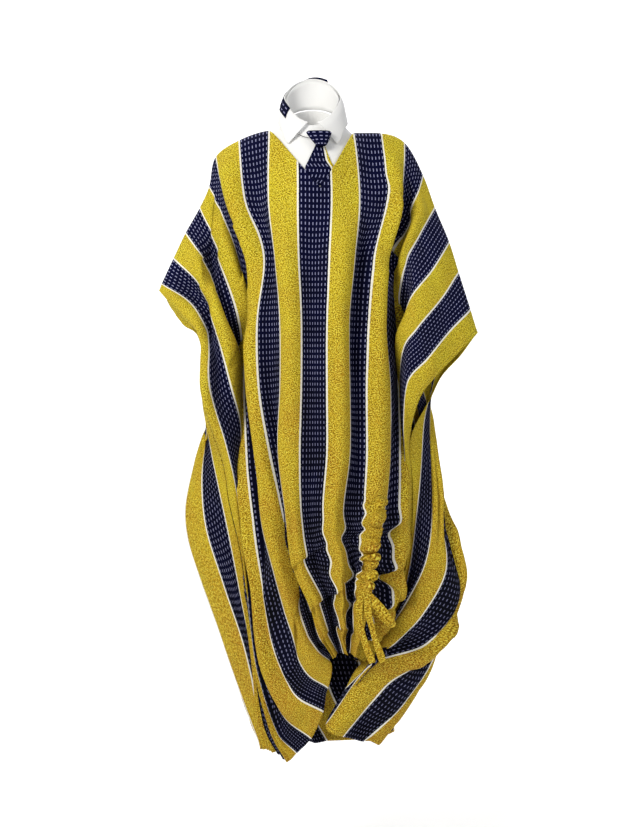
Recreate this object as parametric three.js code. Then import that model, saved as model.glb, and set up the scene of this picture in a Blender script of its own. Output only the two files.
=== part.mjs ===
// A wide kaftan in striped wax-print cotton, worn open and hollow, with a shirt collar, a tie and a ruched front.
// Millimetres, +Z up, the front faces -Y and +X is on the viewer's right. The origin is the middle of the
// shoulder line, where the wearer's shoulders carry the dress.
import * as THREE from 'three';

// ---- driving dimensions ----
const CLOTH_HALF_WIDTH = 592; // the full width of the print is the width of the dress
const MIDDLE_LENGTH = 1375; // shoulder fold to hem along the middle of a panel
const CUFF_LEVEL = 0.4; // share of the side's length that stays open as the cuff
const NECK_HALF_WIDTH = 97; // the neckline's reach to each side, at the first stripe's edge
const NECK_POINT = NECK_HALF_WIDTH / 9; // the V's lowest point stands this far from the cloth's middle
const NECK_DEPTH_FRONT = 122;
const NECK_DEPTH_BACK = 14;
const WALL = 1.4; // panel thickness
const SHIRTING = 1.1; // collar, stand and yoke thickness
const SEAM_SPREAD = 1.3; // each panel draws back this far from a seam, which leaves the walls 0.3 apart
const PANEL_ROWS = 25;
const ROW_CROWDING = 1.25; // above 1, the rows stand closer together at the shoulder's bend
const COLUMNS_PER_WAVE = 3;

const material = (name, color, roughness) =>
  Object.assign(new THREE.MeshStandardMaterial({ color, roughness, metalness: 0 }), { name });
const waxPrint = material('wax_print_cotton', 0xc9b02a, 0.8);
const navyPrint = material('navy_print_cotton', 0x14163f, 0.8);
const shirting = material('white_shirting', 0xf2f1ee, 0.75);

// ---- fold lines ----
// Each row is one lengthwise line of the cloth, u from the middle, with its places at eleven even steps from the
// shoulder fold to the hem: x across, z up and y back. Between the rows and the steps the cloth is a smooth curve.
const FRONT_LINES = [
  { u: -592,
    x: [-335, -285, -235, -235, -200, -185, -160, -145, -130, -115, -100],
    z: [-345, -400, -465, -580, -710, -800, -910, -1030, -1155, -1255, -1320],
    y: [-16, -44, -64, -60, -20, -18, -18, -20, -28, -34, -38] },
  { u: -547,
    x: [-330, -260, -225, -220, -190, -170, -155, -140, -125, -110, -85],
    z: [-330, -380, -460, -560, -675, -770, -895, -1020, -1155, -1260, -1320],
    y: [-12, -48, -72, -72, -44, -28, -20, -22, -34, -46, -52] },
  { u: -481,
    x: [-305, -245, -210, -180, -160, -160, -155, -145, -125, -95, -60],
    z: [-275, -340, -435, -545, -640, -745, -880, -1015, -1155, -1270, -1335],
    y: [-10, -48, -72, -60, -20, -2, -4, -18, -36, -58, -66] },
  { u: -419,
    x: [-280, -230, -190, -160, -160, -165, -155, -140, -120, -80, -40],
    z: [-220, -300, -405, -485, -580, -710, -860, -1010, -1155, -1270, -1315],
    y: [-4, -40, -60, -30, 16, 22, 4, -24, -46, -68, -76] },
  { u: -353,
    x: [-250, -205, -170, -160, -165, -155, -145, -130, -110, -70, -10],
    z: [-165, -275, -385, -460, -560, -700, -845, -995, -1135, -1235, -1285],
    y: [0, -36, -34, 10, 28, 8, -18, -44, -64, -82, -80] },
  { u: -291,
    x: [-230, -180, -150, -150, -155, -150, -135, -120, -95, -50, 15],
    z: [-120, -230, -355, -440, -550, -695, -830, -975, -1110, -1185, -1225],
    y: [0, -30, -12, 8, 0, -22, -50, -70, -84, -98, -90] },
  { u: -225,
    x: [-215, -190, -145, -140, -130, -125, -115, -90, -60, -25, 25],
    z: [-55, -160, -290, -420, -555, -690, -820, -925, -1035, -1135, -1175],
    y: [0, -42, -50, -44, -50, -60, -76, -92, -104, -108, -96] },
  { u: -163,
    x: [-165, -150, -115, -125, -120, -100, -75, -55, -25, 0, 30],
    z: [-20, -155, -290, -420, -555, -685, -820, -935, -1030, -1090, -1120],
    y: [0, -62, -86, -78, -78, -84, -96, -106, -114, -114, -96] },
  { u: -97,
    x: [-100, -100, -85, -75, -75, -80, -65, -50, -15, 5, 35],
    z: [0, -150, -290, -420, -550, -680, -815, -920, -1000, -1065, -1110],
    y: [-4, -82, -110, -100, -96, -100, -106, -112, -118, -116, -100] },
  { u: 0,
    x: [-6, -2, -5, -5, -5, -5, -10, 2, 26, 36, 50],
    z: [-10, -155, -290, -420, -550, -680, -815, -910, -990, -1050, -1105],
    y: [-62, -100, -122, -114, -112, -112, -116, -122, -126, -120, -104] },
  { u: 97,
    x: [80, 90, 80, 70, 70, 70, 55, 62, 62, 62, 60],
    z: [-5, -155, -290, -420, -550, -680, -815, -910, -990, -1050, -1100],
    y: [-4, -82, -110, -100, -96, -100, -108, -116, -122, -118, -100] },
  { u: 163,
    x: [140, 150, 120, 110, 105, 105, 98, 88, 78, 75, 69],
    z: [-5, -155, -290, -420, -550, -685, -815, -905, -975, -1040, -1100],
    y: [0, -62, -88, -80, -82, -88, -102, -120, -128, -122, -102] },
  { u: 225,
    x: [190, 180, 150, 145, 155, 155, 142, 116, 98, 90, 76],
    z: [-25, -155, -295, -415, -555, -690, -820, -910, -980, -1050, -1105],
    y: [0, -42, -58, -52, -58, -66, -84, -104, -114, -112, -96] },
  { u: 291,
    x: [230, 200, 175, 175, 175, 180, 175, 155, 140, 108, 80],
    z: [-95, -195, -270, -360, -515, -665, -815, -915, -995, -1060, -1110],
    y: [0, -38, -28, 8, 0, -22, -50, -72, -84, -84, -82] },
  { u: 353,
    x: [255, 220, 185, 180, 180, 185, 180, 165, 148, 114, 82],
    z: [-165, -230, -315, -400, -535, -675, -825, -925, -1000, -1070, -1115],
    y: [-4, -44, -42, 12, 28, 10, -16, -40, -56, -62, -66] },
  { u: 419,
    x: [285, 245, 195, 180, 180, 185, 185, 170, 152, 120, 84],
    z: [-240, -305, -370, -440, -550, -685, -835, -935, -1010, -1075, -1120],
    y: [-10, -50, -62, -20, 22, 20, 6, -14, -34, -42, -50] },
  { u: 481,
    x: [305, 265, 210, 185, 180, 185, 190, 175, 156, 124, 86],
    z: [-305, -365, -430, -475, -575, -700, -840, -940, -1015, -1080, -1125],
    y: [-12, -50, -76, -50, -4, 10, 6, -4, -18, -28, -38] },
  { u: 547,
    x: [330, 280, 235, 190, 185, 190, 195, 180, 157, 122, 82],
    z: [-385, -435, -490, -545, -630, -725, -850, -945, -1020, -1085, -1130],
    y: [-14, -50, -76, -72, -48, -24, -4, -2, -10, -20, -28] },
  { u: 592,
    x: [345, 300, 250, 215, 200, 205, 205, 185, 165, 130, 90],
    z: [-435, -480, -530, -580, -665, -750, -855, -950, -1025, -1085, -1135],
    y: [-16, -44, -64, -66, -20, -18, -10, -4, -8, -14, -22] },
];

const BACK_LINES = [
  { u: -592,
    x: [-335, -290, -245, -245, -200, -185, -160, -145, -130, -115, -100],
    z: [-345, -395, -455, -580, -710, -800, -910, -1030, -1155, -1255, -1320],
    y: [-16, 30, 44, 36, -20, -18, -18, -20, -28, -34, -38] },
  { u: -547,
    x: [-330, -295, -250, -250, -230, -210, -185, -160, -136, -122, -108],
    z: [-330, -375, -460, -570, -680, -760, -875, -1005, -1135, -1245, -1320],
    y: [-10, 34, 48, 52, 30, -8, -16, -18, -20, -22, -22] },
  { u: -481,
    x: [-305, -280, -245, -240, -240, -245, -235, -200, -155, -125, -110],
    z: [-275, -340, -445, -550, -650, -745, -850, -965, -1100, -1225, -1325],
    y: [-8, 34, 50, 52, 38, 6, -10, -14, -12, -8, -6] },
  { u: -419,
    x: [-280, -260, -235, -220, -230, -255, -270, -245, -200, -155, -115],
    z: [-220, -300, -410, -515, -620, -720, -830, -955, -1100, -1230, -1330],
    y: [-4, 34, 52, 48, 42, 30, 22, 20, 20, 18, 14] },
  { u: -353,
    x: [-250, -240, -215, -190, -205, -235, -255, -235, -195, -150, -105],
    z: [-165, -250, -365, -480, -595, -710, -830, -965, -1110, -1240, -1335],
    y: [0, 36, 50, 56, 60, 52, 48, 48, 48, 46, 40] },
  { u: -291,
    x: [-230, -220, -195, -165, -175, -200, -220, -205, -170, -130, -90],
    z: [-120, -205, -325, -445, -570, -690, -830, -970, -1110, -1240, -1335],
    y: [0, 36, 52, 56, 66, 66, 66, 66, 66, 64, 60] },
  { u: -225,
    x: [-215, -200, -165, -140, -150, -170, -180, -170, -135, -100, -55],
    z: [-55, -155, -290, -420, -555, -690, -830, -970, -1115, -1245, -1340],
    y: [0, 42, 56, 54, 64, 74, 82, 84, 84, 82, 80] },
  { u: -163,
    x: [-165, -155, -130, -105, -115, -130, -140, -130, -105, -70, -20],
    z: [-20, -135, -275, -410, -550, -690, -830, -975, -1115, -1245, -1335],
    y: [0, 60, 70, 60, 68, 82, 94, 98, 98, 96, 92] },
  { u: -97,
    x: [-100, -95, -80, -70, -75, -85, -85, -80, -60, -25, 25],
    z: [0, -125, -265, -405, -545, -690, -830, -975, -1120, -1245, -1335],
    y: [4, 76, 84, 70, 78, 94, 106, 108, 106, 100, 88] },
  { u: 0,
    x: [-6, 0, 0, 0, 0, 5, 10, 25, 45, 80, 140],
    z: [48, -100, -255, -400, -545, -690, -835, -975, -1120, -1245, -1315],
    y: [58, 88, 92, 74, 84, 102, 114, 116, 112, 92, 44] },
  { u: 97,
    x: [80, 80, 75, 75, 80, 95, 115, 145, 165, 175, 165],
    z: [-5, -125, -265, -410, -550, -690, -830, -975, -1115, -1230, -1285],
    y: [4, 76, 84, 68, 76, 90, 98, 98, 88, 50, -10] },
  { u: 163,
    x: [140, 140, 125, 110, 130, 155, 185, 220, 230, 200, 125],
    z: [-5, -135, -275, -410, -550, -690, -830, -970, -1105, -1210, -1280],
    y: [0, 60, 70, 58, 66, 78, 84, 80, 60, 6, -70] },
  { u: 225,
    x: [190, 190, 165, 145, 170, 205, 240, 270, 270, 190, 100],
    z: [-25, -150, -290, -420, -555, -685, -825, -960, -1100, -1215, -1285],
    y: [0, 42, 56, 52, 60, 66, 66, 54, 30, -48, -96] },
  { u: 291,
    x: [230, 220, 195, 175, 205, 235, 270, 305, 250, 140, 55],
    z: [-95, -205, -330, -450, -575, -700, -820, -950, -1110, -1180, -1275],
    y: [0, 38, 52, 52, 54, 54, 46, 30, -20, -84, -98] },
  { u: 353,
    x: [255, 240, 220, 200, 225, 250, 275, 310, 235, 115, 20],
    z: [-165, -265, -380, -490, -600, -715, -820, -990, -1090, -1125, -1250],
    y: [0, 38, 54, 56, 52, 42, 30, 10, -44, -100, -94] },
  { u: 419,
    x: [285, 265, 245, 230, 245, 255, 270, 280, 225, 145, 62],
    z: [-240, -325, -435, -515, -610, -720, -820, -930, -1030, -1100, -1180],
    y: [-4, 36, 52, 54, 44, 26, 10, -14, -52, -90, -86] },
  { u: 481,
    x: [305, 285, 265, 255, 250, 250, 250, 235, 195, 145, 90],
    z: [-305, -370, -460, -540, -615, -720, -815, -920, -1000, -1070, -1140],
    y: [-10, 36, 50, 54, 36, 14, -2, -18, -34, -54, -62] },
  { u: 547,
    x: [330, 295, 270, 255, 235, 225, 215, 202, 182, 148, 106],
    z: [-385, -445, -505, -555, -625, -730, -825, -935, -1015, -1080, -1134],
    y: [-12, 34, 48, 52, 28, 2, -6, -8, -16, -28, -36] },
  { u: 592,
    x: [345, 315, 275, 250, 200, 205, 205, 185, 165, 130, 90],
    z: [-435, -480, -525, -575, -665, -750, -855, -950, -1025, -1085, -1135],
    y: [-16, 30, 44, 44, -20, -18, -10, -4, -8, -14, -22] },
];

// Smaller folds: from and to are [u, share of the length], width is across the cloth and rise is how far the
// fold stands out of the cloth, or sinks into it where it is negative.
const FRONT_FOLDS = [
  { from: [-265, 0.02], to: [-590, 0.20], width: 26, rise: -16 },
  { from: [-385, 0.02], to: [-500, 0.16], width: 20, rise: 10 },
  { from: [-470, 0.14], to: [-590, 0.34], width: 26, rise: 12 },
  { from: [-150, 0.10], to: [-205, 0.34], width: 24, rise: -12 },
  { from: [-128, 0.24], to: [-128, 0.66], width: 22, rise: -8 },
  { from: [-60, 0.40], to: [-70, 0.74], width: 24, rise: -7 },
  { from: [35, 0.24], to: [20, 0.66], width: 22, rise: -8 },
  { from: [128, 0.12], to: [120, 0.42], width: 22, rise: -8 },
  { from: [150, 0.08], to: [200, 0.22], width: 22, rise: -12 },
  { from: [255, 0.04], to: [330, 0.26], width: 22, rise: -14 },
  { from: [190, 0.30], to: [192, 0.56], width: 26, rise: 7 },
  { from: [-195, 0.50], to: [-150, 0.80], width: 22, rise: -9 },
  { from: [-320, 0.62], to: [-300, 0.94], width: 26, rise: -12 },
];
const BACK_FOLDS = [
  { from: [-60, 0.22], to: [-70, 0.98], width: 34, rise: -11 },
  { from: [0, 0.30], to: [8, 0.98], width: 30, rise: 9 },
  { from: [70, 0.22], to: [85, 0.92], width: 34, rise: -11 },
  { from: [-190, 0.20], to: [-200, 0.98], width: 32, rise: -10 },
  { from: [200, 0.20], to: [215, 0.86], width: 32, rise: -10 },
  { from: [-300, 0.10], to: [-330, 0.92], width: 32, rise: -12 },
  { from: [320, 0.10], to: [320, 0.72], width: 32, rise: -12 },
  { from: [-430, 0.10], to: [-420, 0.80], width: 30, rise: 10 },
  { from: [440, 0.10], to: [420, 0.66], width: 30, rise: 10 },
];
// The drawstring bunches the front: short pleats fan out from the casing, deepest beside it.
const CASING_U = 194;
const GATHER = { top: 0.58, bottom: 0.985, pleats: 4, reach: 170, clear: 28, rise: 11 };
// Cloth that is wider than the way between two fold lines stands out and in by turns, one half wave to a strip.
const WAVE = { slack: 0.62, steepest: 1.0, middleWaves: 3 };
// Beside the side seams, where the two panels hang close together, the waves lie down.
const CALM = { from: 300, over: 70, level: 0.45, share: 0.92 };

// ---- the cloth's surface ----
const clamp = (v, low, high) => Math.min(high, Math.max(low, v));
const smooth = (v) => { const s = clamp(v, 0, 1); return s * s * (3 - 2 * s); };

// A cubic through uneven knots, with slopes limited so that it never swings past them.
function curveThrough(knots, values, at) {
  let i = 0;
  while (i < knots.length - 2 && at > knots[i + 1]) i++;
  const slope = (j) => {
    if (j <= 0 || j >= knots.length - 1) return null;
    const before = (values[j] - values[j - 1]) / (knots[j] - knots[j - 1]);
    const after = (values[j + 1] - values[j]) / (knots[j + 1] - knots[j]);
    const step = (knots[j + 1] - knots[j - 1]);
    const mean = (before * (knots[j + 1] - knots[j]) + after * (knots[j] - knots[j - 1])) / step;
    const limit = 3 * Math.min(Math.abs(before), Math.abs(after));
    return before * after > 0 ? clamp(mean, -limit, limit) : mean * 0.5;
  };
  const width = knots[i + 1] - knots[i];
  const chord = (values[i + 1] - values[i]) / width;
  const s0 = slope(i) ?? chord;
  const s1 = slope(i + 1) ?? chord;
  const t = clamp((at - knots[i]) / width, 0, 1);
  return values[i] * (1 + 2 * t) * (1 - t) ** 2 + s0 * width * t * (1 - t) ** 2
    + values[i + 1] * t * t * (3 - 2 * t) + s1 * width * t * t * (t - 1);
}

const lineSteps = FRONT_LINES[0].x.map((_, i, all) => i / (all.length - 1));

const lineAcross = FRONT_LINES.map((line) => line.u);
const strips = lineAcross.filter((u) => u !== 0);
const ROUND_SHOULDER = 0.6; // the cloth leaves the shoulder fold nearly level, then turns down

function baseCloth(lines, u, level) {
  const at = {};
  const first = lineSteps[1];
  const rounded = level < first ? first * (level / first) ** ROUND_SHOULDER : level;
  for (const axis of ['x', 'y', 'z']) {
    const down = axis === 'y' ? rounded : level;
    const here = lines.map((line) => curveThrough(lineSteps, line[axis], down));
    at[axis] = curveThrough(lineAcross, here, u);
  }
  return new THREE.Vector3(at.x, at.y, at.z);
}

// The outward direction of a surface given by a function of u and level, for the front (-1) or the back (1).
const OVER = 6; // mm of cloth to each side of the place
function outward(side, surface, u, level) {
  const [left, right] = [Math.max(u - OVER, -CLOTH_HALF_WIDTH), Math.min(u + OVER, CLOTH_HALF_WIDTH)];
  const step = OVER / MIDDLE_LENGTH;
  const across = surface(right, level).sub(surface(left, level));
  const down = surface(u, Math.min(level + step, 1)).sub(surface(u, Math.max(level - step, 0)));
  return across.cross(down).normalize().multiplyScalar(side);
}

// The height of the slack cloth's wave over the base, from the width that the fold lines leave over.
function waveLift(side, lines, u, level) {
  let i = 0;
  while (i < strips.length - 2 && u > strips[i + 1]) i++;
  const [left, right] = [strips[i], strips[i + 1]];
  const waves = left < 0 && right > 0 ? WAVE.middleWaves : 1;
  const middle = baseCloth(lines, (left + right) / 2, level);
  const way = baseCloth(lines, left, level).distanceTo(middle) + baseCloth(lines, right, level).distanceTo(middle);
  const [cloth, room] = [(right - left) / waves, way / waves];
  const slack = 0.5 * Math.sqrt(Math.max(0, cloth * cloth - room * room)) * WAVE.slack;
  const height = Math.min(slack, room * WAVE.steepest);
  const turn = i % 2 ? -1 : 1;
  const top = waves > 1 ? smooth((level - 0.1) / 0.1) : smooth(level / 0.08);
  const beside = smooth((Math.abs(u) - CALM.from) / CALM.over) * smooth((level - CALM.level) / 0.15);
  const lively = top * (1 - CALM.share * beside);
  return height * turn * lively * Math.sin((Math.PI * waves * (u - left)) / (right - left));
}

// How far a small fold lifts the cloth at a place, in the fold's own direction.
function foldLift(fold, u, level) {
  const [u0, v0] = [fold.from[0], fold.from[1] * MIDDLE_LENGTH];
  const [du, dv] = [fold.to[0] - u0, fold.to[1] * MIDDLE_LENGTH - v0];
  const [pu, pv] = [u - u0, level * MIDDLE_LENGTH - v0];
  const along = (pu * du + pv * dv) / (du * du + dv * dv);
  const away = Math.abs(pu * dv - pv * du) / Math.hypot(du, dv) / fold.width;
  const ends = smooth(along / 0.25) * smooth((1 - along) / 0.25);
  return fold.rise * ends * Math.exp(-away * away);
}

function gatherLift(u, level) {
  const share = (level - GATHER.top) / (GATHER.bottom - GATHER.top);
  const near = Math.abs(u - CASING_U) / GATHER.reach;
  if (share <= 0 || share >= 1 || near > 1) return 0;
  const wave = Math.cos(share * GATHER.pleats * 2 * Math.PI);
  const beside = smooth((Math.abs(u - CASING_U) - GATHER.clear) / 30);
  return GATHER.rise * wave * (1 - near) * beside * smooth(share / 0.2) * smooth((1 - share) / 0.12);
}

// The middle of a panel's wall: side is -1 for the front and 1 for the back.
function panelPoint(side, u, level) {
  const lines = side < 0 ? FRONT_LINES : BACK_LINES;
  const base = (a, b) => baseCloth(lines, a, b);
  let lift = 0;
  for (const fold of side < 0 ? FRONT_FOLDS : BACK_FOLDS) lift += foldLift(fold, u, level);
  if (side < 0) lift += gatherLift(u, level);
  lift *= smooth((CLOTH_HALF_WIDTH - Math.abs(u)) / 60) * smooth(level / 0.05);
  lift += waveLift(side, lines, u, level);
  return base(u, level).addScaledVector(outward(side, base, u, level), lift);
}

// The same, drawn back from the seams that it shares with the other panel.
function seamedPoint(side, u, level) {
  const point = panelPoint(side, u, level);
  const shoulder = 1 - smooth(level / 0.05);
  const sideSeam = smooth((Math.abs(u) - CLOTH_HALF_WIDTH + 30) / 30) * smooth((level - CUFF_LEVEL + 0.1) / 0.1);
  const apart = SEAM_SPREAD * Math.max(shoulder, sideSeam);
  point.y += side * apart;
  point.x += side * Math.sign(u) * apart * sideSeam;
  return point;
}

const neckDepth = (side, u) => {
  const beside = u - NECK_POINT;
  const inside = 1 - Math.abs(beside) / (NECK_HALF_WIDTH - Math.sign(beside) * NECK_POINT);
  if (inside <= 0) return 0;
  return side < 0 ? NECK_DEPTH_FRONT * inside : NECK_DEPTH_BACK * Math.min(1, inside * 3);
};

// ---- solids from points ----
function solid(vertices, triangles) {
  const geometry = new THREE.BufferGeometry();
  geometry.setAttribute('position', new THREE.Float32BufferAttribute(vertices.flatMap((p) => [p.x, p.y, p.z]), 3));
  geometry.setIndex(triangles.flat());
  return geometry;
}

// The unit normal at each point of a grid, rows[i][j]; a ring's rows close on themselves.
function normals(rows, ring) {
  const [height, width] = [rows.length, rows[0].length];
  const at = (i, j) => rows[clamp(i, 0, height - 1)][ring ? (j + width) % width : clamp(j, 0, width - 1)];
  return rows.map((row, i) => row.map((_, j) => {
    const across = at(i, j + 1).clone().sub(at(i, j - 1));
    const down = at(i + 1, j).clone().sub(at(i - 1, j));
    return across.cross(down).normalize();
  }));
}

// A wall of even thickness round a grid of middle points.
function wall(rows, thickness, { ring = false, flip = false } = {}) {
  const [height, width] = [rows.length, rows[0].length];
  const offsets = normals(rows, ring).flat().map((n) => n.multiplyScalar((flip ? 0.5 : -0.5) * thickness));
  const outer = rows.flat().map((p, i) => p.clone().add(offsets[i]));
  const inner = rows.flat().map((p, i) => p.clone().sub(offsets[i]));
  const count = height * width;
  const triangles = [];
  const quad = (a, b, c, d) => {
    const turned = flip ? [a, d, c, b] : [a, b, c, d];
    triangles.push([turned[0], turned[1], turned[2]], [turned[0], turned[2], turned[3]]);
  };
  const last = ring ? width : width - 1;
  for (let i = 0; i < height - 1; i++) {
    for (let j = 0; j < last; j++) {
      const [a, b] = [i * width + j, i * width + ((j + 1) % width)];
      const [c, d] = [b + width, a + width];
      quad(a, d, c, b);
      quad(count + a, count + b, count + c, count + d);
    }
  }
  for (let j = 0; j < last; j++) {
    const [a, b] = [j, (j + 1) % width];
    quad(a, b, count + b, count + a);
    const [c, d] = [(height - 1) * width + a, (height - 1) * width + b];
    quad(d, c, count + c, count + d);
  }
  if (!ring) {
    for (let i = 0; i < height - 1; i++) {
      const [a, d] = [i * width, (i + 1) * width];
      quad(d, a, count + a, count + d);
      const [b, c] = [a + width - 1, d + width - 1];
      quad(b, c, count + c, count + b);
    }
  }
  return solid([...outer, ...inner], triangles);
}

// A closed rod of an oval section that follows points; sizes are its half widths across and along `flat`.
function rod(points, halfWidth, halfThick, flat, sides = 8) {
  const path = new THREE.CatmullRomCurve3(points);
  const count = points.length * 2;
  const vertices = [];
  for (let i = 0; i <= count; i++) {
    const t = i / count;
    const tangent = path.getTangent(t);
    const thick = flat.clone().addScaledVector(tangent, -flat.dot(tangent)).normalize();
    const wide = tangent.clone().cross(thick);
    for (let k = 0; k < sides; k++) {
      const angle = (2 * Math.PI * k) / sides;
      vertices.push(path.getPoint(t).addScaledVector(wide, Math.cos(angle) * halfWidth)
        .addScaledVector(thick, Math.sin(angle) * halfThick));
    }
  }
  const triangles = [];
  for (let i = 0; i < count; i++) {
    for (let k = 0; k < sides; k++) {
      const [a, b] = [i * sides + k, i * sides + ((k + 1) % sides)];
      triangles.push([a, b + sides, b], [a, a + sides, b + sides]);
    }
  }
  for (let k = 1; k < sides - 1; k++) {
    triangles.push([0, k, k + 1]);
    const end = count * sides;
    triangles.push([end, end + k + 1, end + k]);
  }
  return solid(vertices, triangles);
}

const V = (x, y, z) => new THREE.Vector3(x, y, z);
const spread = (count, make) => Array.from({ length: count + 1 }, (_, i) => make(i / count));

// ---- panels ----
const columns = strips.slice(1).flatMap((right, i) => {
  const left = strips[i];
  const count = COLUMNS_PER_WAVE * (left < 0 && right > 0 ? WAVE.middleWaves : 1);
  return Array.from({ length: count }, (_, k) => left + ((right - left) * (k + 1)) / count);
});
columns.unshift(strips[0]);

const panelRows = (side) => spread(PANEL_ROWS, (down) => columns.map((u) => {
  const top = neckDepth(side, u) / MIDDLE_LENGTH;
  return seamedPoint(side, u, top + (1 - top) * down ** ROW_CROWDING);
}));
const frontRows = panelRows(-1);
const backRows = panelRows(1);
const frontOutward = normals(frontRows, false).map((row) => row.map((n) => n.negate()));

// A place `out` from the middle of the front panel's wall, measured on the flat faces that make it up.
function onFront(u, level, out) {
  const i = clamp(Math.floor(level ** (1 / ROW_CROWDING) * PANEL_ROWS), 0, PANEL_ROWS - 1);
  const j = clamp(columns.findIndex((column) => column > u) - 1, 0, columns.length - 2);
  const [above, below] = [i, i + 1].map((row) => (row / PANEL_ROWS) ** ROW_CROWDING);
  const across = (u - columns[j]) / (columns[j + 1] - columns[j]);
  const down = (level - above) / (below - above);
  const corner = (r, c) => frontRows[r][c].clone().addScaledVector(frontOutward[r][c], out);
  const [start, end] = [corner(i, j), corner(i + 1, j + 1)];
  const turn = across > down ? corner(i, j + 1) : corner(i + 1, j);
  const [first, second] = across > down ? [across, down] : [down, across];
  return start.addScaledVector(turn.clone().sub(start), first).addScaledVector(end.sub(turn), second);
}

// ---- neck: yoke, collar and tie ----
const NECK = { x: -7, y: -4, halfWidth: 59, halfDepth: 58 };
const YOKE_BEHIND = 6; // the yoke lies this far inside the panels
const YOKE_UNDER = 16; // and runs on this far under the neckline's edge

// Angle 0 is the front and goes round by the viewer's right. Heights follow a neck that leans forward.
const byAngle = (angle, front, side, back) => {
  const turn = Math.cos(angle);
  return side + (turn > 0 ? (front - side) * turn ** 1.4 : (back - side) * (-turn) ** 1.2);
};
const neckRing = (angle, out, height) =>
  V(NECK.x + (NECK.halfWidth + out) * Math.sin(angle), NECK.y - (NECK.halfDepth + out) * Math.cos(angle), height);
const baseHeight = (angle) => byAngle(angle, -30, 20, 58);
const foldHeight = (angle) => byAngle(angle, 3, 72, 128);

// A place behind the panel, `under` past the edge of its neckline, all the way round. At the corners the front
// and the back meet in the shoulder fold, and the place is below that.
function behindNeckline(angle, under) {
  const side = Math.cos(angle) > 0 ? -1 : 1;
  const [edges, seconds] = side < 0 ? frontRows : backRows;
  const turn = Math.asin(Math.sin(angle)) / (Math.PI / 2);
  const u = turn * NECK_HALF_WIDTH;
  const j = clamp(columns.findIndex((column) => column > u) - 1, 0, columns.length - 2);
  const t = (u - columns[j]) / (columns[j + 1] - columns[j]);
  const edge = edges[j].clone().lerp(edges[j + 1], t);
  const down = seconds[j].clone().lerp(seconds[j + 1], t).sub(edge).normalize();
  const along = edges[j + 1].clone().sub(edges[j]);
  const inward = down.clone().cross(along).normalize().multiplyScalar(side);
  const corner = smooth((Math.abs(turn) - 0.75) / 0.25);
  inward.lerp(V(0, 0, -1), corner).normalize();
  down.lerp(V(Math.sign(turn), 0, -0.5), corner).normalize();
  return edge.addScaledVector(down, under).addScaledVector(inward, YOKE_BEHIND);
}

const YOKE_EDGE = 0.72; // share of the yoke's width that shows inside the neckline
function yokePoint(angle, out) {
  const edge = behindNeckline(angle, 0);
  if (out < YOKE_EDGE) return neckRing(angle, -0.5, baseHeight(angle)).lerp(edge, out / YOKE_EDGE);
  return edge.lerp(behindNeckline(angle, YOKE_UNDER), (out - YOKE_EDGE) / (1 - YOKE_EDGE));
}

const YOKE_SIDES = 44;
const yokeRows = [0, 0.24, 0.48, YOKE_EDGE, 1].map((out) =>
  Array.from({ length: YOKE_SIDES }, (_, k) => yokePoint((2 * Math.PI * k) / YOKE_SIDES, out)));

// How far forward the yoke's face stands at a place in the front view, or null beside it.
function yokeFace(x, z) {
  let face = null;
  const tryOn = (a, b, c) => {
    const area = (b.x - a.x) * (c.z - a.z) - (c.x - a.x) * (b.z - a.z);
    const toB = ((x - a.x) * (c.z - a.z) - (c.x - a.x) * (z - a.z)) / area;
    const toC = ((b.x - a.x) * (z - a.z) - (x - a.x) * (b.z - a.z)) / area;
    if (toB < 0 || toC < 0 || toB + toC > 1) return;
    const y = a.y + (b.y - a.y) * toB + (c.y - a.y) * toC;
    if (face === null || y < face) face = y;
  };
  for (let i = 0; i < yokeRows.length - 1; i++) {
    for (let k = 0; k < YOKE_SIDES; k++) {
      const next = (k + 1) % YOKE_SIDES;
      const [a, b, c, d] = [yokeRows[i][k], yokeRows[i][next], yokeRows[i + 1][next], yokeRows[i + 1][k]];
      tryOn(a, b, c);
      tryOn(a, c, d);
    }
  }
  return face;
}

function collarStand() {
  const rows = spread(2, (up) => spread(35, (turn) => {
    const angle = (2 * Math.PI * turn * 35) / 36;
    const base = baseHeight(angle) + 1.4;
    return neckRing(angle, 0.2 - 4 * up, base + (foldHeight(angle) - 4 - base) * up);
  }));
  return wall(rows, SHIRTING, { ring: true, flip: true });
}

// The leaf turns down from the fold line and runs out to a point at each front edge.
const LEAF_GAP = 0.16; // half of the opening at the front, in radians
const LEAF_ABOVE = 2.6; // the leaf lies this far over the yoke
const LEAF_DROP = { back: 57, front: 44 }; // from the fold line down to the leaf's edge
// A place on the leaf, by its angle and its share of the way down from the fold line.
function leafPoint(angle, down, out = 0) {
  const toFront = Math.abs(Math.PI - angle) / Math.PI;
  const turned = (angle < Math.PI ? 1 : -1) * 0.62 * down * smooth((toFront - 0.6) / 0.4);
  const away = 1.2 + 4 * Math.sin((Math.min(1, down * 3) * Math.PI) / 2) + 11 * down;
  const drop = LEAF_DROP.back + (LEAF_DROP.front - LEAF_DROP.back) * smooth((toFront - 0.5) / 0.35);
  const point = neckRing(angle + turned, away + out, foldHeight(angle) - drop * down);
  const face = point.y < 0 ? yokeFace(point.x, point.z) : null;
  if (face !== null) point.y = Math.min(point.y, face - LEAF_ABOVE);
  return point;
}
function collarLeaf() {
  const rows = spread(4, (down) =>
    spread(44, (turn) => leafPoint(LEAF_GAP + (2 * Math.PI - 2 * LEAF_GAP) * turn, down)));
  return wall(rows, SHIRTING, { flip: true });
}

// The tie's band lies round the outside of the collar, from behind the neck to its left side.
const BAND = { from: 0.82 * Math.PI, to: 1.72 * Math.PI, top: 0.04, fall: 0.02, width: 0.44, out: 2 };
function tieBand() {
  const rows = spread(2, (down) => spread(20, (turn) => {
    const angle = BAND.from + (BAND.to - BAND.from) * turn;
    return leafPoint(angle, BAND.top + BAND.fall * turn + BAND.width * down, BAND.out);
  }));
  return wall(rows, SHIRTING, { flip: true });
}

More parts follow.
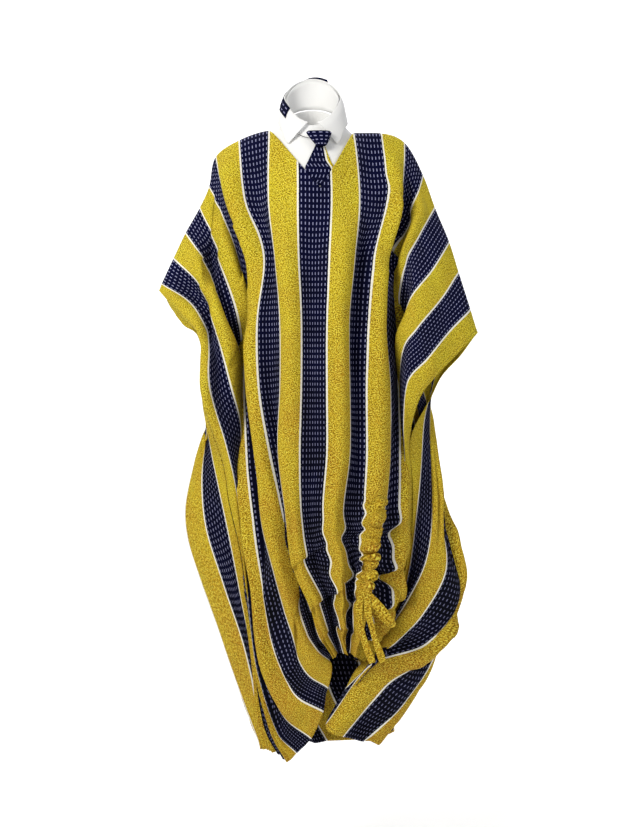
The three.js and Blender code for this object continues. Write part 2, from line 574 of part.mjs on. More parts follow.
const KNOT = { x: 6, y: -74.9, top: -12, bottom: -46, halfTop: 21, halfBottom: 10, halfDepth: 8 };
function tieKnot() {
  const rows = spread(5, (down) => {
    const z = KNOT.top + (KNOT.bottom - KNOT.top) * down;
    const half = KNOT.halfTop + (KNOT.halfBottom - KNOT.halfTop) * smooth(down);
    return { z, half, depth: KNOT.halfDepth * (0.75 + 0.25 * Math.sin(down * Math.PI)) };
  });
  const sides = 14;
  const vertices = rows.flatMap(({ z, half, depth }) => Array.from({ length: sides }, (_, k) => {
    const angle = (2 * Math.PI * k) / sides;
    return V(KNOT.x + half * Math.cos(angle), KNOT.y - 4 + depth * Math.sin(angle) + (KNOT.bottom - z) * -0.18, z);
  }));
  const triangles = [];
  for (let i = 0; i < rows.length - 1; i++) {
    for (let k = 0; k < sides; k++) {
      const [a, b] = [i * sides + k, i * sides + ((k + 1) % sides)];
      triangles.push([a, a + sides, b + sides], [a, b + sides, b]);
    }
  }
  const end = (rows.length - 1) * sides;
  for (let k = 1; k < sides - 1; k++) {
    triangles.push([0, k, k + 1], [end, end + k + 1, end + k]);
  }
  return solid(vertices, triangles);
}

// The blade hangs from the knot down the yoke and slips behind the front's edge.
const BLADE_ABOVE = 2.1; // it lies this far over the yoke
const BLADE_EDGES = [
  { z: -50, left: -0.5, right: 16 },
  { z: -66, left: -11, right: 25 },
  { z: -81, left: -17, right: 31 },
  { z: -98, left: -23, right: 38 },
  { z: -118, left: -13, right: 29 },
  { z: -134, left: 2, right: 19 },
];
function tieBlade() {
  const heights = BLADE_EDGES.map((row, i, all) => i / (all.length - 1));
  const column = (name, down) => curveThrough(heights, BLADE_EDGES.map((row) => row[name]), down);
  const rows = spread(10, (down) => spread(6, (across) => {
    const [z, left, right] = [column('z', down), column('left', down), column('right', down)];
    const x = left + (right - left) * across;
    return V(x, yokeFace(x, z) - BLADE_ABOVE, z);
  }));
  return wall(rows, SHIRTING, { flip: true });
}

// ---- drawstring ----
const CASING = { top: 0.575, bottom: 0.79, halfTop: 21, halfBottom: 12, ruches: 8, rise: 6, out: 2.3 };
function casing() {
  const rows = spread(32, (down) => spread(6, (across) => {
    const level = CASING.top + (CASING.bottom - CASING.top) * down;
    const half = CASING.halfTop + (CASING.halfBottom - CASING.halfTop) * down;
    const u = CASING_U + half * (2 * across - 1);
    const wave = 0.5 + 0.5 * Math.cos(2 * Math.PI * CASING.ruches * down + 1.2 * Math.sin(3 * across));
    const crown = Math.sin(Math.PI * across);
    return onFront(u, level, CASING.out + CASING.rise * wave * (0.35 + 0.65 * crown));
  }));
  return wall(rows, WALL, { flip: true });
}

const FORWARD = V(0, -1, 0);
const BOW = onFront(CASING_U - 4, CASING.bottom + 0.018, 0).add(V(0, -4, 0));
const fromBow = (x, y, z) => BOW.clone().add(V(x, y, z));
// The knot's half of the bow, with one long loop that lies down to the right.
const BOW_ROUTE = [[-6, -1, 8], [10, -6, 4], [32, -9, -16], [52, -9, -40], [60, -4, -52], [52, 1, -46],
  [32, 1, -24], [12, 0, -6]];
const BOW_HALF = { wide: 5.5, thick: 2.2 };
const END_HALF = { wide: 5, thick: 1.8 };
const STRING_ENDS = [
  { name: 'drawstring_end_left',
    route: [[-3, -6.9, 5], [-6, -7, -10], [-7, -7, -30], [-5, -7, -48], [-1, -7, -68], [5, -7, -90],
      [13, -6, -112], [20, -6, -130]] },
  { name: 'drawstring_end_right',
    route: [[9, -10.1, 5], [10, -12, -14], [12, -13, -34], [17, -13, -52], [23, -12, -74], [30, -11, -96],
      [37, -10, -116], [41, -9, -128]] },
];

// ---- the dress ----
const dress = new THREE.Group();
const add = (name, geometry, look) => {
  geometry.computeVertexNormals();
  const mesh = new THREE.Mesh(geometry, look);
  mesh.name = name;
  dress.add(mesh);
};
const cord = (route, half) => rod(route.map((p) => fromBow(...p)), half.wide, half.thick, FORWARD);
add('front_panel', wall(frontRows, WALL, { flip: true }), waxPrint);
add('back_panel', wall(backRows, WALL), waxPrint);
add('shirt_yoke', wall(yokeRows, SHIRTING, { ring: true }), shirting);
add('collar_stand', collarStand(), shirting);
add('collar_leaf', collarLeaf(), shirting);
add('tie_band', tieBand(), navyPrint);
add('tie_knot', tieKnot(), navyPrint);
add('tie_blade', tieBlade(), navyPrint);
add('drawstring_casing', casing(), waxPrint);
add('drawstring_bow', cord(BOW_ROUTE, BOW_HALF), waxPrint);
for (const { name, route } of STRING_ENDS) add(name, cord(route, END_HALF), waxPrint);

export default dress;
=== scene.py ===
"""A wide kaftan in striped wax-print cotton, hollow and open, with a shirt collar, a tie and a ruched front.

Sizes are in millimetres until the vertices are placed, in metres, in the part's own frame: +Z up, the front
faces -Y, and the origin is the middle of the shoulder line.
"""
import math

import bmesh
import bpy
import numpy as np
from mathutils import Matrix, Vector


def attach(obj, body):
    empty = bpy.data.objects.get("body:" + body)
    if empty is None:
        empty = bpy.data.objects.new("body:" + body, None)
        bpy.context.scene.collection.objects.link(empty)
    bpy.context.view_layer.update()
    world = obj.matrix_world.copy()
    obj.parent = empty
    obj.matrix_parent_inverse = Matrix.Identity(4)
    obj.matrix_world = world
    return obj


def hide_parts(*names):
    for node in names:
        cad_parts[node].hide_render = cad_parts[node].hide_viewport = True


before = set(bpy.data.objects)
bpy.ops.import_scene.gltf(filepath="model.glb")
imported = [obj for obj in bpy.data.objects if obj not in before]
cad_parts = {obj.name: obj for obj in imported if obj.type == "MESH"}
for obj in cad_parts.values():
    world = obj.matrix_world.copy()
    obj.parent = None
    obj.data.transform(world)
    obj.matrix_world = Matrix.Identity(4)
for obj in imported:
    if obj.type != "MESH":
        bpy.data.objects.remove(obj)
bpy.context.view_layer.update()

# ---- sizes ----
CLOTH_HALF_WIDTH = 592  # the full width of the print is the width of the dress
MIDDLE_LENGTH = 1375  # shoulder fold to hem along the middle of a panel
SIDE_LENGTH = 1060  # and along the side seam
STRAIGHT_HEM = 300  # the hem starts to rise this far from the middle
CUFF_LEVEL = 0.4
NECK_HALF_WIDTH = 97
NECK_POINT = NECK_HALF_WIDTH / 9  # the V's lowest point stands this far from the cloth's middle
NECK_DEPTH_FRONT = 122
NECK_DEPTH_BACK = 14
SEAM_SPREAD = 0.8
OVER = 6  # the cloth's slope is taken across this much to each side
PANEL_CELLS = (232, 196)
ROW_CROWDING = 1.1
THICK = dict(panel=1.6, yoke=0.8, stand=0.8, leaf=1.1, tie=1.2, tie_band=1.1, casing=0.9, strip=0.6)

# ---- fold lines: u is the distance from the cloth's middle; x, z and y are the line's places at eleven even
# steps from the shoulder fold to the hem ----
FRONT_LINES = [
    dict(u=-592,
         x=[-335, -285, -235, -235, -200, -185, -160, -145, -130, -115, -100],
         z=[-345, -400, -465, -580, -710, -800, -910, -1030, -1155, -1255, -1320],
         y=[-16, -44, -64, -60, -20, -18, -18, -20, -28, -34, -38]),
    dict(u=-547,
         x=[-330, -260, -225, -220, -190, -170, -155, -140, -125, -110, -85],
         z=[-330, -380, -460, -560, -675, -770, -895, -1020, -1155, -1260, -1320],
         y=[-12, -48, -72, -72, -44, -28, -20, -22, -34, -46, -52]),
    dict(u=-481,
         x=[-305, -245, -210, -180, -160, -160, -155, -145, -125, -95, -60],
         z=[-275, -340, -435, -545, -640, -745, -880, -1015, -1155, -1270, -1335],
         y=[-10, -48, -72, -60, -20, -2, -4, -18, -36, -58, -66]),
    dict(u=-419,
         x=[-280, -230, -190, -160, -160, -165, -155, -140, -120, -80, -40],
         z=[-220, -300, -405, -485, -580, -710, -860, -1010, -1155, -1270, -1315],
         y=[-4, -40, -60, -30, 16, 22, 4, -24, -46, -68, -76]),
    dict(u=-353,
         x=[-250, -205, -170, -160, -165, -155, -145, -130, -110, -70, -10],
         z=[-165, -275, -385, -460, -560, -700, -845, -995, -1135, -1235, -1285],
         y=[0, -36, -34, 10, 28, 8, -18, -44, -64, -82, -80]),
    dict(u=-291,
         x=[-230, -180, -150, -150, -155, -150, -135, -120, -95, -50, 15],
         z=[-120, -230, -355, -440, -550, -695, -830, -975, -1110, -1185, -1225],
         y=[0, -30, -12, 8, 0, -22, -50, -70, -84, -98, -90]),
    dict(u=-225,
         x=[-215, -190, -145, -140, -130, -125, -115, -90, -60, -25, 25],
         z=[-55, -160, -290, -420, -555, -690, -820, -925, -1035, -1135, -1175],
         y=[0, -42, -50, -44, -50, -60, -76, -92, -104, -108, -96]),
    dict(u=-163,
         x=[-165, -150, -115, -125, -120, -100, -75, -55, -25, 0, 30],
         z=[-20, -155, -290, -420, -555, -685, -820, -935, -1030, -1090, -1120],
         y=[0, -62, -86, -78, -78, -84, -96, -106, -114, -114, -96]),
    dict(u=-97,
         x=[-100, -100, -85, -75, -75, -80, -65, -50, -15, 5, 35],
         z=[0, -150, -290, -420, -550, -680, -815, -920, -1000, -1065, -1110],
         y=[-4, -82, -110, -100, -96, -100, -106, -112, -118, -116, -100]),
    dict(u=0,
         x=[-6, -2, -5, -5, -5, -5, -10, 2, 26, 36, 50],
         z=[-10, -155, -290, -420, -550, -680, -815, -910, -990, -1050, -1105],
         y=[-62, -100, -122, -114, -112, -112, -116, -122, -126, -120, -104]),
    dict(u=97,
         x=[80, 90, 80, 70, 70, 70, 55, 62, 62, 62, 60],
         z=[-5, -155, -290, -420, -550, -680, -815, -910, -990, -1050, -1100],
         y=[-4, -82, -110, -100, -96, -100, -108, -116, -122, -118, -100]),
    dict(u=163,
         x=[140, 150, 120, 110, 105, 105, 98, 88, 78, 75, 69],
         z=[-5, -155, -290, -420, -550, -685, -815, -905, -975, -1040, -1100],
         y=[0, -62, -88, -80, -82, -88, -102, -120, -128, -122, -102]),
    dict(u=225,
         x=[190, 180, 150, 145, 155, 155, 142, 116, 98, 90, 76],
         z=[-25, -155, -295, -415, -555, -690, -820, -910, -980, -1050, -1105],
         y=[0, -42, -58, -52, -58, -66, -84, -104, -114, -112, -96]),
    dict(u=291,
         x=[230, 200, 175, 175, 175, 180, 175, 155, 140, 108, 80],
         z=[-95, -195, -270, -360, -515, -665, -815, -915, -995, -1060, -1110],
         y=[0, -38, -28, 8, 0, -22, -50, -72, -84, -84, -82]),
    dict(u=353,
         x=[255, 220, 185, 180, 180, 185, 180, 165, 148, 114, 82],
         z=[-165, -230, -315, -400, -535, -675, -825, -925, -1000, -1070, -1115],
         y=[-4, -44, -42, 12, 28, 10, -16, -40, -56, -62, -66]),
    dict(u=419,
         x=[285, 245, 195, 180, 180, 185, 185, 170, 152, 120, 84],
         z=[-240, -305, -370, -440, -550, -685, -835, -935, -1010, -1075, -1120],
         y=[-10, -50, -62, -20, 22, 20, 6, -14, -34, -42, -50]),
    dict(u=481,
         x=[305, 265, 210, 185, 180, 185, 190, 175, 156, 124, 86],
         z=[-305, -365, -430, -475, -575, -700, -840, -940, -1015, -1080, -1125],
         y=[-12, -50, -76, -50, -4, 10, 6, -4, -18, -28, -38]),
    dict(u=547,
         x=[330, 280, 235, 190, 185, 190, 195, 180, 157, 122, 82],
         z=[-385, -435, -490, -545, -630, -725, -850, -945, -1020, -1085, -1130],
         y=[-14, -50, -76, -72, -48, -24, -4, -2, -10, -20, -28]),
    dict(u=592,
         x=[345, 300, 250, 215, 200, 205, 205, 185, 165, 130, 90],
         z=[-435, -480, -530, -580, -665, -750, -855, -950, -1025, -1085, -1135],
         y=[-16, -44, -64, -66, -20, -18, -10, -4, -8, -14, -22]),
]
BACK_LINES = [
    dict(u=-592,
         x=[-335, -290, -245, -245, -200, -185, -160, -145, -130, -115, -100],
         z=[-345, -395, -455, -580, -710, -800, -910, -1030, -1155, -1255, -1320],
         y=[-16, 30, 44, 36, -20, -18, -18, -20, -28, -34, -38]),
    dict(u=-547,
         x=[-330, -295, -250, -250, -230, -210, -185, -160, -136, -122, -108],
         z=[-330, -375, -460, -570, -680, -760, -875, -1005, -1135, -1245, -1320],
         y=[-10, 34, 48, 52, 30, -8, -16, -18, -20, -22, -22]),
    dict(u=-481,
         x=[-305, -280, -245, -240, -240, -245, -235, -200, -155, -125, -110],
         z=[-275, -340, -445, -550, -650, -745, -850, -965, -1100, -1225, -1325],
         y=[-8, 34, 50, 52, 38, 6, -10, -14, -12, -8, -6]),
    dict(u=-419,
         x=[-280, -260, -235, -220, -230, -255, -270, -245, -200, -155, -115],
         z=[-220, -300, -410, -515, -620, -720, -830, -955, -1100, -1230, -1330],
         y=[-4, 34, 52, 48, 42, 30, 22, 20, 20, 18, 14]),
    dict(u=-353,
         x=[-250, -240, -215, -190, -205, -235, -255, -235, -195, -150, -105],
         z=[-165, -250, -365, -480, -595, -710, -830, -965, -1110, -1240, -1335],
         y=[0, 36, 50, 56, 60, 52, 48, 48, 48, 46, 40]),
    dict(u=-291,
         x=[-230, -220, -195, -165, -175, -200, -220, -205, -170, -130, -90],
         z=[-120, -205, -325, -445, -570, -690, -830, -970, -1110, -1240, -1335],
         y=[0, 36, 52, 56, 66, 66, 66, 66, 66, 64, 60]),
    dict(u=-225,
         x=[-215, -200, -165, -140, -150, -170, -180, -170, -135, -100, -55],
         z=[-55, -155, -290, -420, -555, -690, -830, -970, -1115, -1245, -1340],
         y=[0, 42, 56, 54, 64, 74, 82, 84, 84, 82, 80]),
    dict(u=-163,
         x=[-165, -155, -130, -105, -115, -130, -140, -130, -105, -70, -20],
         z=[-20, -135, -275, -410, -550, -690, -830, -975, -1115, -1245, -1335],
         y=[0, 60, 70, 60, 68, 82, 94, 98, 98, 96, 92]),
    dict(u=-97,
         x=[-100, -95, -80, -70, -75, -85, -85, -80, -60, -25, 25],
         z=[0, -125, -265, -405, -545, -690, -830, -975, -1120, -1245, -1335],
         y=[4, 76, 84, 70, 78, 94, 106, 108, 106, 100, 88]),
    dict(u=0,
         x=[-6, 0, 0, 0, 0, 5, 10, 25, 45, 80, 140],
         z=[48, -100, -255, -400, -545, -690, -835, -975, -1120, -1245, -1315],
         y=[58, 88, 92, 74, 84, 102, 114, 116, 112, 92, 44]),
    dict(u=97,
         x=[80, 80, 75, 75, 80, 95, 115, 145, 165, 175, 165],
         z=[-5, -125, -265, -410, -550, -690, -830, -975, -1115, -1230, -1285],
         y=[4, 76, 84, 68, 76, 90, 98, 98, 88, 50, -10]),
    dict(u=163,
         x=[140, 140, 125, 110, 130, 155, 185, 220, 230, 200, 125],
         z=[-5, -135, -275, -410, -550, -690, -830, -970, -1105, -1210, -1280],
         y=[0, 60, 70, 58, 66, 78, 84, 80, 60, 6, -70]),
    dict(u=225,
         x=[190, 190, 165, 145, 170, 205, 240, 270, 270, 190, 100],
         z=[-25, -150, -290, -420, -555, -685, -825, -960, -1100, -1215, -1285],
         y=[0, 42, 56, 52, 60, 66, 66, 54, 30, -48, -96]),
    dict(u=291,
         x=[230, 220, 195, 175, 205, 235, 270, 305, 250, 140, 55],
         z=[-95, -205, -330, -450, -575, -700, -820, -950, -1110, -1180, -1275],
         y=[0, 38, 52, 52, 54, 54, 46, 30, -20, -84, -98]),
    dict(u=353,
         x=[255, 240, 220, 200, 225, 250, 275, 310, 235, 115, 20],
         z=[-165, -265, -380, -490, -600, -715, -820, -990, -1090, -1125, -1250],
         y=[0, 38, 54, 56, 52, 42, 30, 10, -44, -100, -94]),
    dict(u=419,
         x=[285, 265, 245, 230, 245, 255, 270, 280, 225, 145, 62],
         z=[-240, -325, -435, -515, -610, -720, -820, -930, -1030, -1100, -1180],
         y=[-4, 36, 52, 54, 44, 26, 10, -14, -52, -90, -86]),
    dict(u=481,
         x=[305, 285, 265, 255, 250, 250, 250, 235, 195, 145, 90],
         z=[-305, -370, -460, -540, -615, -720, -815, -920, -1000, -1070, -1140],
         y=[-10, 36, 50, 54, 36, 14, -2, -18, -34, -54, -62]),
    dict(u=547,
         x=[330, 295, 270, 255, 235, 225, 215, 202, 182, 148, 106],
         z=[-385, -445, -505, -555, -625, -730, -825, -935, -1015, -1080, -1134],
         y=[-12, 34, 48, 52, 28, 2, -6, -8, -16, -28, -36]),
    dict(u=592,
         x=[345, 315, 275, 250, 200, 205, 205, 185, 165, 130, 90],
         z=[-435, -480, -525, -575, -665, -750, -855, -950, -1025, -1085, -1135],
         y=[-16, 30, 44, 44, -20, -18, -10, -4, -8, -14, -22]),
]
FRONT_FOLDS = [
    dict(start=(-265, 0.02), end=(-590, 0.20), width=26, rise=-16),
    dict(start=(-385, 0.02), end=(-500, 0.16), width=20, rise=10),
    dict(start=(-470, 0.14), end=(-590, 0.34), width=26, rise=12),
    dict(start=(-150, 0.10), end=(-205, 0.34), width=24, rise=-12),
    dict(start=(-128, 0.24), end=(-128, 0.66), width=22, rise=-8),
    dict(start=(-60, 0.40), end=(-70, 0.74), width=24, rise=-7),
    dict(start=(35, 0.24), end=(20, 0.66), width=22, rise=-8),
    dict(start=(128, 0.12), end=(120, 0.42), width=22, rise=-8),
    dict(start=(150, 0.08), end=(200, 0.22), width=22, rise=-12),
    dict(start=(255, 0.04), end=(330, 0.26), width=22, rise=-14),
    dict(start=(190, 0.30), end=(192, 0.56), width=26, rise=7),
    dict(start=(-195, 0.50), end=(-150, 0.80), width=22, rise=-9),
    dict(start=(-320, 0.62), end=(-300, 0.94), width=26, rise=-12),
]
BACK_FOLDS = [
    dict(start=(-60, 0.22), end=(-70, 0.98), width=34, rise=-11),
    dict(start=(0, 0.30), end=(8, 0.98), width=30, rise=9),
    dict(start=(70, 0.22), end=(85, 0.92), width=34, rise=-11),
    dict(start=(-190, 0.20), end=(-200, 0.98), width=32, rise=-10),
    dict(start=(200, 0.20), end=(215, 0.86), width=32, rise=-10),
    dict(start=(-300, 0.10), end=(-330, 0.92), width=32, rise=-12),
    dict(start=(320, 0.10), end=(320, 0.72), width=32, rise=-12),
    dict(start=(-430, 0.10), end=(-420, 0.80), width=30, rise=10),
    dict(start=(440, 0.10), end=(420, 0.66), width=30, rise=10),
]
# Creases: the cloth turns under itself along each. start and end are (u, share of the length), hidden is
# the cloth that goes in from each side, and step is how far one side stands over the other.
FRONT_CREASES = [
    dict(start=(-262, 0.012), end=(-500, 0.11), hidden=11, step=3),
    dict(start=(-300, 0.055), end=(-430, 0.15), hidden=13, step=-4),
    dict(start=(-178, 0.135), end=(-345, 0.165), hidden=14, step=4),
    dict(start=(165, 0.07), end=(350, 0.27), hidden=13, step=-4),
    dict(start=(262, 0.05), end=(350, 0.175), hidden=10, step=-3),
    dict(start=(-190, 0.24), end=(-340, 0.27), hidden=10, step=3),
    dict(start=(-246, 0.40), end=(-286, 0.90), hidden=9, step=6),
    dict(start=(-372, 0.47), end=(-392, 0.90), hidden=9, step=5),
    dict(start=(150, 0.74), end=(-150, 0.835), hidden=38, step=-12),
    dict(start=(40, 0.655), end=(-150, 0.73), hidden=24, step=-10),
    dict(start=(-96, 0.62), end=(-236, 0.88), hidden=22, step=-9),
    dict(start=(140, 0.865), end=(-130, 0.935), hidden=30, step=-10),
    dict(start=(216, 0.68), end=(336, 0.80), hidden=22, step=9),
]
BACK_CREASES = [
    dict(start=(240, 0.70), end=(330, 0.90), hidden=12, step=5),
    dict(start=(-250, 0.75), end=(-330, 0.96), hidden=12, step=5),
]
CREASE = dict(soft=0.72, reach=2.6)
# Very soft waves all over, so that the cloth doesn't look pressed. slant is how far they lean.
FINE_CREASES = [
    dict(size=150, rise=1.5, count=7),
    dict(size=60, rise=0.55, count=9),
]
FINE = dict(slant=0.5, upright=0.35, bend=1.3, longer=2.3, edge=25, shoulder=0.03)
# Folds die out this far from the side edges, and within this share of the length from the shoulder.
FADE = dict(edge=60, shoulder=0.05)
CASING_U = 194
CASING = dict(top=0.575, bottom=0.79, half_top=21, half_bottom=12, ruches=8, rise=6, out=2.3,
              bulge=1.7, lobe=0.16, slant=0.004)
GATHER = dict(top=0.58, bottom=0.985, pleats=4, reach=210, clear=22, rise=13, slide=26, hidden=13)
PUCKER = dict(reach=62, rise=4.5, slide=9)
NEST = dict(width=30, rise=6.5, crowded=0.8, over=0.5)
WAVE = dict(slack=0.84, steepest=1.15, middle_waves=3)
CALM = dict(start=330, over=90, front=0.27, back=0.12, share=0.93)
ROUND_SHOULDER = 0.6
STEPS = np.linspace(0, 1, 11)
ACROSS = np.array([line["u"] for line in FRONT_LINES], float)
STRIPS = ACROSS[ACROSS != 0]


# ---- the cloth's surface ----
def smooth(v):
    """Eases from 0 to 1."""
    s = np.clip(v, 0, 1)
    return s * s * (3 - 2 * s)


def curve_through(knots, values, at):
    """A cubic through uneven knots that never swings past them. values is one row to a knot."""
    knots = np.asarray(knots, float)
    i = np.clip(np.searchsorted(knots, at, side="left") - 1, 0, len(knots) - 2)
    values = np.asarray(values, float)

    def value(j):
        j = np.clip(j, 0, len(knots) - 1)
        return values[j] if values.ndim == 1 else values[j, np.arange(at.size)]

    def slope(j, chord):
        before_width = knots[np.clip(j, 1, None)] - knots[np.clip(j - 1, 0, None)]
        after_width = knots[np.clip(j + 1, None, len(knots) - 1)] - knots[np.clip(j, None, len(knots) - 2)]
        before = (value(j) - value(j - 1)) / before_width
        after = (value(j + 1) - value(j)) / np.where(after_width == 0, 1, after_width)
        mean = (before * after_width + after * before_width) / (before_width + after_width)
        limit = 3 * np.minimum(np.abs(before), np.abs(after))
        inside = np.where(before * after > 0, np.clip(mean, -limit, limit), mean * 0.5)
        return np.where((j <= 0) | (j >= len(knots) - 1), chord, inside)

    width = knots[i + 1] - knots[i]
    chord = (value(i + 1) - value(i)) / width
    s0, s1 = slope(i, chord), slope(i + 1, chord)
    t = np.clip((at - knots[i]) / width, 0, 1)
    return (value(i) * (1 + 2 * t) * (1 - t) ** 2 + s0 * width * t * (1 - t) ** 2
            + value(i + 1) * t * t * (3 - 2 * t) + s1 * width * t * t * (t - 1))


def cloth_base(lines, u, level):
    """The smooth hang of a panel, without its waves and small folds."""
    first = STEPS[1]
    rounded = np.where(level < first, first * (np.clip(level, 0, None) / first) ** ROUND_SHOULDER, level)
    axes = []
    for axis in "xyz":
        down = rounded if axis == "y" else level
        rows = np.array([curve_through(STEPS, line[axis], down) for line in lines])
        axes.append(curve_through(ACROSS, rows, u))
    return np.stack(axes, axis=-1)


def unit(vectors):
    return vectors / np.maximum(np.linalg.norm(vectors, axis=-1, keepdims=True), 1e-9)


def outward(side, surface, u, level):
    """The outward direction of a surface of u and level; side is -1 for the front and 1 for the back."""
    left, right = np.maximum(u - OVER, -CLOTH_HALF_WIDTH), np.minimum(u + OVER, CLOTH_HALF_WIDTH)
    step = OVER / MIDDLE_LENGTH
    across = surface(right, level) - surface(left, level)
    down = surface(u, np.minimum(level + step, 1)) - surface(u, np.maximum(level - step, 0))
    return unit(np.cross(across, down)) * side


def wave_lift(lines, u, level):
    """The slack cloth's wave, from the width that the fold lines leave over."""
    i = np.clip(np.searchsorted(STRIPS, u, side="left") - 1, 0, len(STRIPS) - 2)
    left, right = STRIPS[i], STRIPS[i + 1]
    waves = np.where((left < 0) & (right > 0), WAVE["middle_waves"], 1)
    start, middle, end = (cloth_base(lines, at, level) for at in (left, (left + right) / 2, right))
    way = np.linalg.norm(middle - start, axis=-1) + np.linalg.norm(end - middle, axis=-1)
    cloth, room = (right - left) / waves, way / waves
    height = 0.5 * np.sqrt(np.maximum(0, cloth**2 - room**2)) * WAVE["slack"]
    height = np.minimum(height, room * WAVE["steepest"])
    turn = np.where(i % 2 == 1, -1, 1)
    top = np.where(waves > 1, smooth((level - 0.1) / 0.1), smooth(level / 0.08))
    calm = CALM["front"] if lines is FRONT_LINES else CALM["back"]
    beside = smooth((np.abs(u) - CALM["start"]) / CALM["over"]) * smooth((level - calm) / 0.15)
    lively = top * (1 - CALM["share"] * beside)
    return height * turn * lively * np.sin(np.pi * waves * (u - left) / (right - left))


def length_at(u):
    """The length of cloth from the shoulder fold to the hem."""
    rise = smooth((np.abs(u) - STRAIGHT_HEM) / (CLOTH_HALF_WIDTH - STRAIGHT_HEM))
    return MIDDLE_LENGTH - (MIDDLE_LENGTH - SIDE_LENGTH) * rise


def fold_lift(fold, u, level):
    """How far one soft fold lifts the cloth: a long bump that dies out at its ends."""
    u0, v0 = fold["start"][0], fold["start"][1] * MIDDLE_LENGTH
    du, dv = fold["end"][0] - u0, fold["end"][1] * MIDDLE_LENGTH - v0
    pu, pv = u - u0, level * MIDDLE_LENGTH - v0
    along = (pu * du + pv * dv) / (du * du + dv * dv)
    away = np.abs(pu * dv - pv * du) / math.hypot(du, dv) / fold["width"]
    return fold["rise"] * smooth(along / 0.25) * smooth((1 - along) / 0.25) * np.exp(-away * away)


def gathered(u, level):
    """Short uneven pleats that fan out from the drawstring: their lift, and where the cloth slides to."""
    share = (level - GATHER["top"]) / (GATHER["bottom"] - GATHER["top"])
    near = np.abs(u - CASING_U) / GATHER["reach"]
    turn = 2 * np.pi * GATHER["pleats"] * share + 0.8 * np.sin(u / 52 + 1) + 0.5 * np.sin(u / 23)
    beside = smooth((np.abs(u - CASING_U) - GATHER["clear"]) / 30)
    strength = (1 - near) * beside * smooth(share / 0.2) * smooth((1 - share) / 0.12)
    strength = np.where((share <= 0) | (share >= 1) | (near > 1), 0, strength)
    crest = 2 * np.sqrt(np.cos(turn / 2) ** 2 + 0.03) - 1
    return (GATHER["rise"] * strength * crest,
            u + GATHER["slide"] * strength * (np.sin(turn) - 0.35 * np.sin(2 * turn)),
            level + GATHER["hidden"] / MIDDLE_LENGTH * strength * np.sin(turn))


def ruche_turn(level):
    """The drawn-up casing's uneven ruches, as a turn that grows down the casing."""
    share = (level - CASING["top"]) / (CASING["bottom"] - CASING["top"])
    return 2 * np.pi * CASING["ruches"] * share + 0.9 * np.sin(8 * share + 1) + 0.7 * np.sin(21 * share)


def puckered(u, level):
    """Small ripples of the cloth right beside the casing."""
    share = (level - CASING["top"]) / (CASING["bottom"] - CASING["top"])
    near = np.clip(1 - (np.abs(u - CASING_U) - 15) / PUCKER["reach"], 0, 1)
    strength = near**1.6 * smooth((share + 0.06) / 0.12) * smooth((1.25 - share) / 0.3)
    turn = ruche_turn(level) + 0.5 * np.sin(u / 17)
    strength = strength * (0.65 + 0.35 * np.sin(3.1 * turn / 8 + u / 40))
    return PUCKER["rise"] * strength * np.sin(turn), PUCKER["slide"] * strength * np.cos(turn)


def nested(lines, u, level):
    """Where fold lines crowd together the cloth between them nests in lengthwise pleats."""
    way = cloth_base(lines, u + OVER, level) - cloth_base(lines, u - OVER, level)
    kept = np.linalg.norm(way, axis=-1) / (2 * OVER)
    crowd = smooth((NEST["crowded"] - kept) / NEST["over"]) * smooth((level - 0.4) / 0.2)
    return NEST["rise"] * crowd * np.sin(2 * np.pi * u / NEST["width"] + 1.1 * np.sin(u / 41))


def creased(side, u, level):
    """Where cloth that is partly turned under itself lies, and how far it stands out."""
    at_u, at_v, step = u.copy(), level * MIDDLE_LENGTH, np.zeros_like(u)
    edge = smooth((CLOTH_HALF_WIDTH - np.abs(u)) / FADE["edge"])
    for crease in FRONT_CREASES if side < 0 else BACK_CREASES:
        u0, v0 = crease["start"][0], crease["start"][1] * MIDDLE_LENGTH
        du, dv = crease["end"][0] - u0, crease["end"][1] * MIDDLE_LENGTH - v0
        length = math.hypot(du, dv)
        pu, pv = u - u0, level * MIDDLE_LENGTH - v0
        along = (pu * du + pv * dv) / length**2
        away = (pu * dv - pv * du) / length
        ends = smooth((along + 0.1) / 0.3) * smooth((1.1 - along) / 0.3) * edge
        soft = CREASE["soft"] * crease["hidden"]
        turn = ends * np.tanh(away / soft) * np.exp(-np.abs(away) / (CREASE["reach"] * crease["hidden"]))
        at_u -= crease["hidden"] * turn * dv / length
        at_v += crease["hidden"] * turn * du / length
        step += crease["step"] * turn
    return at_u, np.clip(at_v / MIDDLE_LENGTH, 0, 1), step


def cloth_point(side, u, level, fine=True):
    """A panel's middle surface, moved along its base's outward direction."""
    lines = FRONT_LINES if side < 0 else BACK_LINES
    lift = sum(fold_lift(fold, u, level) for fold in (FRONT_FOLDS if side < 0 else BACK_FOLDS))
    at_u, at_level, step = creased(side, u, level)
    if side < 0:
        pleat, slid_u, slid_level = gathered(u, level)
        pucker, shift = puckered(u, level)
        lift = lift + pleat + pucker
        at_u, at_level = at_u + slid_u - u + shift, np.clip(at_level + slid_level - level, 0, 1)
    lift = (lift + step) * smooth((CLOTH_HALF_WIDTH - np.abs(u)) / FADE["edge"])
    lift = lift * smooth(level / FADE["shoulder"])
    lift = lift + wave_lift(lines, at_u, at_level)
    lift = lift + nested(lines, u, level) * smooth((CLOTH_HALF_WIDTH - np.abs(u)) / 20)
    if fine:
        lift = lift + fine_creases(side, u, level)
    away = outward(side, lambda a, b: cloth_base(lines, a, b), at_u, at_level)
    return cloth_base(lines, at_u, at_level) + away * lift[..., None]


